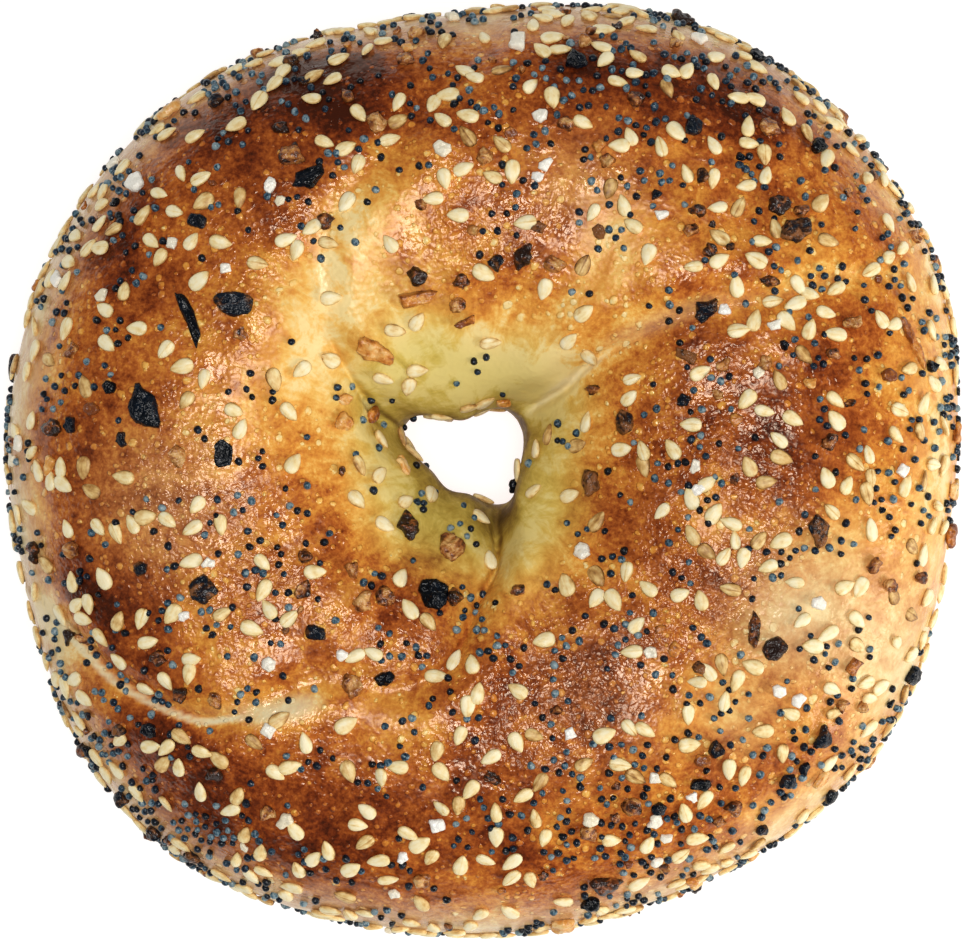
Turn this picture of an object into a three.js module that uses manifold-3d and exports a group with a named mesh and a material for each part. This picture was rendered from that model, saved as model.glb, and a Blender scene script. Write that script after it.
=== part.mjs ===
// An everything bagel: one ring of boiled and baked dough, rolled from a strand whose turns meet in three
// creases, with onion flakes and sesame seeds baked into its crust. All of it holds together as one solid.
// Millimetres, +Z up. The origin is under the middle of the ring, on the surface that it rests on.
import * as THREE from "three";
import { mergeVertices } from "three/addons/utils/BufferGeometryUtils.js";
import Module from "manifold-3d";

const FULL_TURN = 2 * Math.PI;
const CRUST_COLOUR = 0xa8612c;
const CRUST_ROUGHNESS = 0.45;

// ---------- The ring, seen from above ----------
// A wave is [crests round the ring, height of a crest, angle of the first crest in degrees].
const OUTER_RADIUS = 62.7;
const OUTER_WAVES = [[1, 0.6, 69], [2, 1.4, 28], [3, 0.5, 36], [4, 1.4, 49], [7, 0.4, 19]];
const HOLE_CENTRE = [-1.5, 2.4];
const HOLE_RADIUS = 6.7;
const HOLE_WAVES = [[2, 1.2, -17], [3, 0.9, 47], [4, 0.6, -33], [5, 0.3, 15]];

// ---------- The ring, cut across ----------
const CREST_HEIGHT = 39;
const WAIST_HEIGHT = 19;
const EQUATOR_HEIGHT = 16.5;
const SIDE_FULLNESS = 0.84;
const TOP_FULLNESS = 0.92;
const BASE_FULLNESS = 0.72;
const BASE_FLATTENING = 1.07;

// ---------- Relief on the upper crust ----------
// A swell is [x, y, reach, height].
const SWELLS = [
  [-34, 4, 17, 1.3], [2, 37, 15, 0.8], [38, -4, 18, 1.5], [12, -37, 17, 1.0], [-36, -30, 9, 0.7],
  [22, 27, 8, 0.8], [-42, 26, 9, -0.7], [31, -32, 8, -0.6], [-18, -16, 7, 0.8], [-27, 20, 6, 0.9],
];
// A crease runs from the hole outwards through points [x, y, depth]. Its lip stands up on the lobe to its left,
// or to its right where lip is negative.
const CREASES = [
  {
    width: 2.4, lip: 0.7,
    points: [
      [1.7, -4.4, 2.6], [1.7, -10.5, 2.6], [-1, -16.9, 1.8], [-4.3, -24.5, 1.2], [-10.7, -27.9, 0.8],
      [-20.3, -26.6, 0.8], [-31.9, -31.4, 0.9], [-37.4, -31.4, 1.2], [-46.6, -27.3, 1.4], [-51.1, -23.3, 1.2],
      [-56.2, -18.4, 0.8],
    ],
  },
  {
    width: 2.7, lip: -0.5,
    points: [
      [-11.4, 6, 2.2], [-13.3, 7.6, 2.2], [-16.8, 11.9, 1.6], [-20.2, 19.1, 0.9], [-20.4, 30.6, 0.6],
      [-13.4, 39.4, 0.8], [-3.5, 51.2, 0.8], [0.8, 55.6, 0.6],
    ],
  },
  {
    width: 2.9, lip: 0.5,
    points: [
      [5.1, 7.3, 2.1], [9.3, 9.8, 2.2], [12.4, 12.9, 1.8], [17.4, 16.1, 1.3], [27.5, 20.5, 1], [36.6, 21.8, 0.9],
      [47, 24.6, 0.7], [52.2, 25.9, 0.5],
    ],
  },
];
const CREASE_STEPS = 6;
const CREASE_FOOT = [15, 29];
// Where the top of a lip lies and how far it reaches, in widths of its crease.
const LIP_PLACE = 1.6;
const LIP_REACH = 1.5;

// ---------- Toppings ----------
// The largest onion flakes, each [x, y, length, width, turn in degrees].
const CHARRED_FLAKES = [
  [-43.1, 7.9, 7.9, 4.2, -78], [-35.9, -15.4, 4.5, 3.9, 30], [-6.1, -15.9, 4.7, 3.3, -60],
  [28.3, 20.8, 3.7, 3.3, 20], [42.4, -7.5, 4.5, 2.8, -78], [-22.1, 37.2, 5.3, 2.9, 35],
  [-37.5, 19.2, 7.9, 1.6, -68], [-31.9, 21.4, 5.5, 3.2, -10], [-33.3, 2.2, 3.3, 2.9, 10],
  [11.8, 52.1, 3.2, 2.6, 5], [42.7, 41.6, 3.0, 2.2, -65], [40.0, 30.3, 5.0, 3.3, 17],
  [18.3, 6.5, 3.6, 2.2, -70], [14.2, -1.5, 3.6, 3.0, 70], [-21.5, -20.5, 3.2, 2.0, -5],
  [13.6, -55.3, 3.2, 2.1, 10], [27.6, -39.8, 3.2, 1.7, 10], [43.3, -34.2, 4.9, 2.2, 80],
  [26.7, 43.7, 3.3, 2.5, -70],
];
const BROWN_FLAKES = [
  [-24.8, 40.0, 4.7, 3.0, 27], [-13.8, 44.3, 3.0, 2.8, 0], [0.3, 40.0, 3.0, 2.9, 0],
  [-8.3, 24.9, 3.0, 2.8, 40], [5.1, 27.3, 4.5, 2.6, 50], [-39.0, 1.8, 3.6, 3.4, 15],
  [-54.8, 5.5, 4.2, 2.2, 5], [-58.0, -10.2, 3.3, 2.5, -80], [-9.8, -7.5, 3.6, 3.2, 20],
  [-4.1, -10.1, 4.7, 4.2, 50], [-12.5, -16.3, 3.2, 2.6, 30], [43.6, 3.6, 3.0, 2.5, 0],
  [36.3, 44.2, 3.7, 2.4, -10], [37.7, 34.2, 4.2, 2.8, 65], [34.4, -20.5, 5.1, 2.0, 82],
  [37.0, -22.3, 3.7, 2.6, 62], [15.5, -52.7, 5.7, 3.2, -14], [-8.0, -52.1, 3.7, 2.0, 0],
  [-16.6, -27.3, 3.7, 2.4, -80],
];
const GOLDEN_FLAKES = [
  [-14.2, 16.1, 5.7, 2.6, -30], [-18.3, 6.3, 3.4, 2.6, -40], [-9.1, 22.2, 6.1, 2.2, 5],
  [54.9, 16.3, 7.9, 1.2, -55], [47.1, -24.6, 3.4, 1.6, 50],
];
// A flake's rim and crown are rings of points: how many, their reach as a share of the flake's, and their height.
const FLAKE_RIM = { sides: 6, share: 1.05, height: 0.4 };
const FLAKE_CROWN = { sides: 3, share: 0.7, height: 0.85 };
const FLAKE_RAGGEDNESS = 0.28;
const SIDE_FLAKE_COUNT = 14;
const SIDE_FLAKE_SIZE = [2.4, 4.4];
const SIDE_FLAKE_SLENDERNESS = 0.6;
const SIDE_FLAKE_SPACING = 6;
const FLAKE_CLEARANCE = 0.8;

const SEED_LENGTH = 3.0;
const SEED_WIDTH = 1.95;
const SEED_SIZE = [0.85, 1.08];
const SEED_RIM = 0.2;
const SEED_RISE = 0.7;
const SEED_RIDGE = [0.22, -0.24];
const SEED_TAPER = 0.34;
const SEED_SIDES = 5;
const SEED_SPACING = 1.9;
const SEED_COUNT = 190;
const ROOT_DEPTH = 1.2;
// Where the seeds lie thicker or thinner: [x, y, reach, gain].
const TOPPING_ZONES = [
  [-31, -2, 15, -0.5], [-17, 25, 12, -0.5], [18, 24, 9, -0.35], [8, -13, 10, -0.5], [36, 40, 15, 0.45],
  [8, 53, 14, 0.4], [20, -47, 17, 0.4], [-34, -46, 12, 0.2],
];
const SPARSE_RADIUS = 14;
const DENSE_RADIUS = 34;
const STICK_SHARE = 0.55;
const SPARSE_SHARE = 0.3;
const UNDERSIDE_SHARE = 0.3;
const BASE_CLEARANCE = 1.6;
// No part of the crust covers more square millimetres to a unit step of azimuth and turn.
const LARGEST_AREA = 1900;

// ---------- Facets ----------
const RING_STEPS = 62;
const UPPER_STEPS = 19;
const LOWER_STEPS = 8;
const SECTION_STEPS = UPPER_STEPS + LOWER_STEPS;

// A Park-Miller generator: the same numbers each run, from 0 to 1.
function seededNumbers(seed) {
  let state = seed;
  return () => {
    state = (state * 48271) % 2147483647;
    return state / 2147483647;
  };
}

const smoothStep = (low, high, value) => THREE.MathUtils.smoothstep(value, low, high);
const mix = THREE.MathUtils.lerp;
const signedPower = (value, power) => Math.sign(value) * Math.abs(value) ** power;

// A mean radius with its waves, at an azimuth in radians.
function wavyRadius(mean, waves, azimuth) {
  return waves.reduce(
    (radius, [count, height, crest]) =>
      radius + height * Math.cos(count * (azimuth - THREE.MathUtils.degToRad(crest))),
    mean,
  );
}

// The smooth ring before its relief. turn goes once round the cross-section: 0 at the outer equator,
// a quarter turn at the crest, a half turn at the hole's waist.
function smoothRing(azimuth, turn) {
  const across = 0.5 + 0.5 * signedPower(Math.cos(turn), SIDE_FULLNESS);
  const hole = wavyRadius(HOLE_RADIUS, HOLE_WAVES, azimuth);
  const outer = wavyRadius(OUTER_RADIUS, OUTER_WAVES, azimuth);
  const radius = mix(hole, outer, across);
  const widest = mix(WAIST_HEIGHT, EQUATOR_HEIGHT, across);
  const rise = Math.sin(turn);
  const z = rise >= 0
    ? widest + (CREST_HEIGHT - widest) * rise ** TOP_FULLNESS
    : widest * (1 - BASE_FLATTENING * (-rise) ** BASE_FULLNESS);
  return new THREE.Vector3(
    HOLE_CENTRE[0] * (1 - across) + radius * Math.cos(azimuth),
    HOLE_CENTRE[1] * (1 - across) + radius * Math.sin(azimuth),
    z,
  );
}

// The outward normal and the area that a unit step of azimuth and of turn covers.
function spanOf(surface, azimuth, turn) {
  const step = 1e-3;
  const along = surface(azimuth + step, turn).sub(surface(azimuth - step, turn));
  const round = surface(azimuth, turn + step).sub(surface(azimuth, turn - step));
  const cross = along.cross(round);
  const area = cross.length() / (4 * step * step);
  return { normal: cross.normalize(), area };
}

// Points [x, y, depth] along a Catmull-Rom curve through a crease's own points.
function creaseLine(points) {
  const line = [];
  for (let i = 0; i < points.length - 1; i++) {
    const [a, b, c, d] = [-1, 0, 1, 2].map((k) => points[THREE.MathUtils.clamp(i + k, 0, points.length - 1)]);
    for (let s = 0; s < CREASE_STEPS; s++) {
      const t = s / CREASE_STEPS;
      line.push(b.map((_, n) => 0.5 * (
        2 * b[n] + (c[n] - a[n]) * t + (2 * a[n] - 5 * b[n] + 4 * c[n] - d[n]) * t * t
        + (3 * b[n] - a[n] - 3 * c[n] + d[n]) * t * t * t)));
    }
  }
  line.push(points[points.length - 1]);
  return line;
}

const creaseLines = CREASES.map((crease) => ({ ...crease, line: creaseLine(crease.points) }));

// The nearest point of a crease to (x, y): its signed distance, positive to the left, and its depth there.
function nearestOnCrease(line, x, y) {
  let best = { distance: Infinity, depth: 0 };
  for (let i = 0; i < line.length - 1; i++) {
    const [ax, ay, ad] = line[i];
    const [bx, by, bd] = line[i + 1];
    const dx = bx - ax;
    const dy = by - ay;
    const t = THREE.MathUtils.clamp(((x - ax) * dx + (y - ay) * dy) / (dx * dx + dy * dy), 0, 1);
    const offX = x - ax - t * dx;
    const offY = y - ay - t * dy;
    const distance = Math.hypot(offX, offY);
    if (distance < Math.abs(best.distance)) {
      best = { distance: distance * Math.sign(dx * offY - dy * offX || 1), depth: mix(ad, bd, t) };
    }
  }
  return best;
}

// How far the crust stands proud of the smooth ring, from its swells and creases.
function relief({ x, y, z }) {
  let height = 0;
  for (const [sx, sy, reach, swell] of SWELLS) {
    height += swell * Math.exp(-((x - sx) ** 2 + (y - sy) ** 2) / reach ** 2);
  }
  for (const { line, width, lip } of creaseLines) {
    const { distance, depth } = nearestOnCrease(line, x, y);
    const lipDistance = Math.sign(lip) * distance - LIP_PLACE * width;
    height -= depth * Math.exp(-((distance / width) ** 2));
    height += Math.abs(lip) * depth * Math.exp(-((lipDistance / (LIP_REACH * width)) ** 2));
  }
  return height * smoothStep(CREASE_FOOT[0], CREASE_FOOT[1], z);
}

// The crust, standing on a flat base.
function crust(azimuth, turn) {
  const point = smoothRing(azimuth, turn);
  point.addScaledVector(spanOf(smoothRing, azimuth, turn).normal, relief(point));
  point.z = Math.max(point.z, 0);
  return point;
}

// The azimuth and turn of the upper crust over a plan position. Each pass moves the ring's own centre, which
// drifts towards the hole's centre with the share of the way across, nearer to its true place.
function crustOver(x, y) {
  const passes = 12;
  const edge = 0.02;
  let across = 0.5;
  let azimuth = 0;
  for (let i = 0; i < passes; i++) {
    const offX = x - HOLE_CENTRE[0] * (1 - across);
    const offY = y - HOLE_CENTRE[1] * (1 - across);
    azimuth = Math.atan2(offY, offX);
    const hole = wavyRadius(HOLE_RADIUS, HOLE_WAVES, azimuth);
    const outer = wavyRadius(OUTER_RADIUS, OUTER_WAVES, azimuth);
    across = THREE.MathUtils.clamp((Math.hypot(offX, offY) - hole) / (outer - hole), edge, 1 - edge);
  }
  return [azimuth, Math.acos(signedPower(2 * across - 1, 1 / SIDE_FULLNESS))];
}

// ---------- The dough as a faceted ring ----------
// The upper half of each cross-section has the finer steps, because the creases lie there.
const turnOfStep = (j) => (j <= UPPER_STEPS
  ? Math.PI * (j / UPPER_STEPS)
  : Math.PI * (1 + (j - UPPER_STEPS) / LOWER_STEPS));
const stepOfTurn = (turn) => (turn <= Math.PI
  ? UPPER_STEPS * (turn / Math.PI)
  : UPPER_STEPS + LOWER_STEPS * (turn / Math.PI - 1));

const ringGrid = [];
for (let i = 0; i < RING_STEPS; i++) {
  const column = [];
  for (let j = 0; j < SECTION_STEPS; j++) column.push(crust((i / RING_STEPS) * FULL_TURN, turnOfStep(j)));
  ringGrid.push(column);
}
const gridPoint = (i, j) => ringGrid[(i + RING_STEPS) % RING_STEPS][(j + SECTION_STEPS) % SECTION_STEPS];

function doughGeometry() {
  const positions = ringGrid.flat().flatMap((p) => p.toArray());
  const indices = [];
  const index = (i, j) => (i % RING_STEPS) * SECTION_STEPS + (j % SECTION_STEPS);
  for (let i = 0; i < RING_STEPS; i++) {
    for (let j = 0; j < SECTION_STEPS; j++) {
      const [a, b, c, d] = [index(i, j), index(i + 1, j), index(i + 1, j + 1), index(i, j + 1)];
      indices.push(a, b, c, a, c, d);
    }
  }
  return new THREE.BufferGeometry()
    .setAttribute("position", new THREE.Float32BufferAttribute(positions, 3))
    .setIndex(indices);
}

// The place on the facets at an azimuth and turn, with the facet's normal.
function onFacets(azimuth, turn) {
  const u = THREE.MathUtils.euclideanModulo(azimuth / FULL_TURN, 1) * RING_STEPS;
  const v = stepOfTurn(THREE.MathUtils.euclideanModulo(turn, FULL_TURN));
  const [i, j] = [Math.floor(u), Math.floor(v)];
  const [s, t] = [u - i, v - j];
  const corner = gridPoint(i, j);
  const far = gridPoint(i + 1, j + 1);
  const side = s > t ? gridPoint(i + 1, j) : gridPoint(i, j + 1);
  const [sideShare, farShare] = s > t ? [s - t, t] : [t - s, s];
  const toSide = side.clone().sub(corner);
  const toFar = far.clone().sub(corner);
  const normal = (s > t ? toSide.clone().cross(toFar) : toFar.clone().cross(toSide)).normalize();
  return { point: corner.clone().addScaledVector(toSide, sideShare).addScaledVector(toFar, farShare), normal };
}

// A frame on the crust whose Z is the facet's normal and whose X points at spin, counted from the +X side.
function seatOn(azimuth, turn, spin) {
  const { point, normal } = onFacets(azimuth, turn);
  const lengthwise = new THREE.Vector3(Math.cos(spin), Math.sin(spin), 0);
  lengthwise.addScaledVector(normal, -lengthwise.dot(normal));
  if (lengthwise.length() < 0.1) lengthwise.set(0, 0, 1).addScaledVector(normal, -normal.z);
  lengthwise.normalize();
  const crosswise = normal.clone().cross(lengthwise);
  return new THREE.Matrix4()
    .makeBasis(lengthwise, crosswise, normal)
    .setPosition(point);
}

// A closed shape rooted at one point in the dough, widest at its rim, and topped by a crown of a few points.
function toppingGeometry(root, rim, crown) {
  const rimIndex = (k) => 1 + (k % rim.length);
  const crownIndex = (k) => 1 + rim.length + Math.floor(((k % rim.length) * crown.length) / rim.length);
  const indices = [];
  for (let k = 0; k < rim.length; k++) {
    indices.push(0, rimIndex(k + 1), rimIndex(k));
    indices.push(rimIndex(k), rimIndex(k + 1), crownIndex(k));
    if (crownIndex(k + 1) !== crownIndex(k)) {
      indices.push(rimIndex(k + 1), crownIndex(k + 1), crownIndex(k));
    }
  }
  const firstCrown = 1 + rim.length;
  for (let m = 1; m < crown.length - 1; m++) indices.push(firstCrown, firstCrown + m, firstCrown + m + 1);
  return new THREE.BufferGeometry()
    .setAttribute("position", new THREE.Float32BufferAttribute([root, ...rim, ...crown].flat(), 3))
    .setIndex(indices);
}

// A sesame seed: a flat teardrop, pointed towards +X, with a ridge along its face.
function seedGeometry(scale) {
  const rim = Array.from({ length: SEED_SIDES }, (_, k) => {
    const angle = ((k - 1) / SEED_SIDES) * FULL_TURN;
    return [
      0.5 * scale * SEED_LENGTH * Math.cos(angle),
      0.5 * scale * SEED_WIDTH * Math.sin(angle) * (1 - SEED_TAPER * Math.cos(angle)),
      SEED_RIM,
    ];
  });
  const ridge = SEED_RIDGE.map((share) => [share * scale * SEED_LENGTH, 0, SEED_RISE]);
  return toppingGeometry([0, 0, -ROOT_DEPTH], rim, ridge);
}

// An onion flake: a ragged plate with a crumpled face.
function flakeGeometry(length, width, random) {
  const ringOf = ({ sides, share, height }) => Array.from({ length: sides }, (_, k) => {
    const angle = ((k + 0.5) / sides) * FULL_TURN;
    const reach = share * (1 - FLAKE_RAGGEDNESS * (random() - 0.5));
    return [0.5 * length * reach * Math.cos(angle), 0.5 * width * reach * Math.sin(angle), height];
  });
  return toppingGeometry([0, 0, -ROOT_DEPTH], ringOf(FLAKE_RIM), ringOf(FLAKE_CROWN));
}

// The share of seeds that stick at a place on the crust, from 0 to 1.
function toppingShare(point, normal) {
  const fromHole = Math.hypot(point.x - HOLE_CENTRE[0], point.y - HOLE_CENTRE[1]);
  let share = STICK_SHARE * mix(SPARSE_SHARE, 1, smoothStep(SPARSE_RADIUS, DENSE_RADIUS, fromHole));
  for (const [x, y, reach, gain] of TOPPING_ZONES) {
    share *= 1 + gain * Math.exp(-((point.x - x) ** 2 + (point.y - y) ** 2) / reach ** 2);
  }
  share *= mix(UNDERSIDE_SHARE, 1, smoothStep(-0.5, 0.1, normal.z));
  return point.z < BASE_CLEARANCE ? 0 : share;
}

// Throws darts at the crust until enough of them stick, each clear of those before it and of the flakes.
function scatter(count, spacing, seed, share, flakes) {
  const random = seededNumbers(seed);
  const places = [];
  while (places.length < count) {
    const [azimuth, turn, luck, spin, size] = Array.from({ length: 5 }, random);
    const [a, t] = [azimuth * FULL_TURN, turn * FULL_TURN];
    const { normal, area } = spanOf(smoothRing, a, t);
    const point = smoothRing(a, t);
    if (luck > (share(point, normal) * area) / LARGEST_AREA) continue;
    if (places.some((place) => place.point.distanceTo(point) < spacing)) continue;
    if (flakes.some((flake) => flake.point.distanceTo(point) < flake.clearance)) continue;
    places.push({ azimuth: a, turn: t, spin: spin * FULL_TURN, size, point });
  }
  return places;
}

// ---------- Everything joined ----------
const wasm = await Module();
wasm.setup();

function solidOf(geometry) {
  const bare = new THREE.BufferGeometry()
    .setAttribute("position", geometry.getAttribute("position"))
    .setIndex(geometry.getIndex());
  const merged = mergeVertices(bare, 1e-4);
  return new wasm.Manifold(new wasm.Mesh({
    numProp: 3,
    vertProperties: merged.getAttribute("position").array,
    triVerts: new Uint32Array(merged.getIndex().array),
  }));
}

function geometryOf(solid) {
  const { vertProperties, triVerts } = solid.getMesh();
  return new THREE.BufferGeometry()
    .setAttribute("position", new THREE.BufferAttribute(vertProperties, 3))
    .setIndex(new THREE.BufferAttribute(triVerts, 1));
}

// A flake lying at an azimuth and turn, and how near to its middle another topping may lie.
function flakeAt(azimuth, turn, spin, length, width) {
  const clearance = 0.25 * (length + width) + FLAKE_CLEARANCE;
  return { azimuth, turn, spin, length, width, clearance, point: smoothRing(azimuth, turn) };
}

const flakes = [...CHARRED_FLAKES, ...BROWN_FLAKES, ...GOLDEN_FLAKES].map(
  ([x, y, length, width, turnDegrees]) =>
    flakeAt(...crustOver(x, y), THREE.MathUtils.degToRad(turnDegrees), length, width),
);
const sideShare = (point, normal) => toppingShare(point, normal) * (1 - smoothStep(0.2, 0.6, normal.z));
for (const { azimuth, turn, spin, size } of scatter(SIDE_FLAKE_COUNT, SIDE_FLAKE_SPACING, 311, sideShare, flakes)) {
  const length = mix(...SIDE_FLAKE_SIZE, size);
  flakes.push(flakeAt(azimuth, turn, spin, length, SIDE_FLAKE_SLENDERNESS * length));
}

const raggedness = seededNumbers(77);
const toppings = flakes.map(({ azimuth, turn, spin, length, width }) =>
  flakeGeometry(length, width, raggedness).applyMatrix4(seatOn(azimuth, turn, spin)));
for (const { azimuth, turn, spin, size } of scatter(SEED_COUNT, SEED_SPACING, 2024, toppingShare, flakes)) {
  toppings.push(seedGeometry(mix(...SEED_SIZE, size)).applyMatrix4(seatOn(azimuth, turn, spin)));
}

let bagelSolid = solidOf(doughGeometry());
for (const topping of toppings) bagelSolid = bagelSolid.add(solidOf(topping));

const bagel = new THREE.Mesh(
  geometryOf(bagelSolid),
  new THREE.MeshStandardMaterial({ color: CRUST_COLOUR, roughness: CRUST_ROUGHNESS, metalness: 0 }),
);
bagel.name = "bagel";

const group = new THREE.Group();
group.add(bagel);
export default group;
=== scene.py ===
"""An everything bagel: a glossy ring of boiled and baked dough under seeds, dried onion, garlic and salt.

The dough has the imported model's form, from the same named sizes, and all that lies on it is seated on the
baked crust. Lengths are in millimetres until they reach a mesh, a texture or a light, which are in metres.
"""

import math

import bpy
import numpy as np
from mathutils import Matrix, Vector
from mathutils.bvhtree import BVHTree


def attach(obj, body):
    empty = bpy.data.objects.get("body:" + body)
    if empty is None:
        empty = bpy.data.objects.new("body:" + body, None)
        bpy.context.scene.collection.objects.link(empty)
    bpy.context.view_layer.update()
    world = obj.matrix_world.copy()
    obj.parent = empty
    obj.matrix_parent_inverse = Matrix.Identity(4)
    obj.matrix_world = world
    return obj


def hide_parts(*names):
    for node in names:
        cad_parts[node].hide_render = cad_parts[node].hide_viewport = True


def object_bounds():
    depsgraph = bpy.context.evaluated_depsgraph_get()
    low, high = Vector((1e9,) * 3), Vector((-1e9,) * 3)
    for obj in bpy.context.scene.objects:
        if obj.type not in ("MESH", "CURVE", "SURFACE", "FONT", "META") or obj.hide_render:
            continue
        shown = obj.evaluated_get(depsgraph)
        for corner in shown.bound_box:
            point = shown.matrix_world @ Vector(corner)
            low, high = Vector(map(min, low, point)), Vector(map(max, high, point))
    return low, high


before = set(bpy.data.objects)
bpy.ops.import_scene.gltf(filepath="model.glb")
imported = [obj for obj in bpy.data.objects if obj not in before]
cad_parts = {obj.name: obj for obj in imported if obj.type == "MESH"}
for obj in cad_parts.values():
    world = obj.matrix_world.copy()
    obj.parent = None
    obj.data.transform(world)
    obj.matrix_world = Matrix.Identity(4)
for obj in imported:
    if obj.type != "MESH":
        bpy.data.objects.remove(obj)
cad_low, cad_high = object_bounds()

MM = 0.001
FULL_TURN = 2 * math.pi

# ---------- The ring, seen from above ----------
# A wave is (crests round the ring, height of a crest, angle of the first crest in degrees).
OUTER_RADIUS = 62.7
OUTER_WAVES = ((1, 0.6, 69), (2, 1.4, 28), (3, 0.5, 36), (4, 1.4, 49), (7, 0.4, 19))
HOLE_CENTRE = (-1.5, 2.4)
HOLE_RADIUS = 6.7
HOLE_WAVES = ((2, 1.2, -17), (3, 0.9, 47), (4, 0.6, -33), (5, 0.3, 15))

# ---------- The ring, cut across ----------
CREST_HEIGHT = 39
WAIST_HEIGHT = 19
EQUATOR_HEIGHT = 16.5
SIDE_FULLNESS = 0.84
TOP_FULLNESS = 0.92
BASE_FULLNESS = 0.72
BASE_FLATTENING = 1.07

# ---------- Relief on the upper crust ----------
# A swell is (x, y, reach, height).
SWELLS = (
    (-34, 4, 17, 1.3), (2, 37, 15, 0.8), (38, -4, 18, 1.5), (12, -37, 17, 1.0), (-36, -30, 9, 0.7),
    (22, 27, 8, 0.8), (-42, 26, 9, -0.7), (31, -32, 8, -0.6), (-18, -16, 7, 0.8), (-27, 20, 6, 0.9),
)
# A crease is (width, lip, points (x, y, depth)) from the hole outwards.
CREASES = (
    (2.4, 0.7, ((1.7, -4.4, 2.6), (1.7, -10.5, 2.6), (-1, -16.9, 1.8), (-4.3, -24.5, 1.2),
        (-10.7, -27.9, 0.8), (-20.3, -26.6, 0.8), (-31.9, -31.4, 0.9), (-37.4, -31.4, 1.2),
        (-46.6, -27.3, 1.4), (-51.1, -23.3, 1.2), (-56.2, -18.4, 0.8))),
    (2.7, -0.5, ((-11.4, 6, 2.2), (-13.3, 7.6, 2.2), (-16.8, 11.9, 1.6), (-20.2, 19.1, 0.9),
        (-20.4, 30.6, 0.6), (-13.4, 39.4, 0.8), (-3.5, 51.2, 0.8), (0.8, 55.6, 0.6))),
    (2.9, 0.5, ((5.1, 7.3, 2.1), (9.3, 9.8, 2.2), (12.4, 12.9, 1.8), (17.4, 16.1, 1.3), (27.5, 20.5, 1),
        (36.6, 21.8, 0.9), (47, 24.6, 0.7), (52.2, 25.9, 0.5))),
)
CREASE_STEPS = 6
CREASE_FOOT = (15, 29)
LIP_PLACE = 1.6
LIP_REACH = 1.5
FOLD_WIDTH = 0.5
FOLD_SHARE = 0.55
FOLD_DEPTHS = (0.6, 1.2)

AROUND = 560
UPPER_ROWS = 120
LOWER_ROWS = 50
SECTION_ROWS = UPPER_ROWS + LOWER_ROWS
LUMP = (11, 0.35)
RIPPLE = (3.6, 0.14)
CROWN_FOOT = (0.6, 4)

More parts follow.
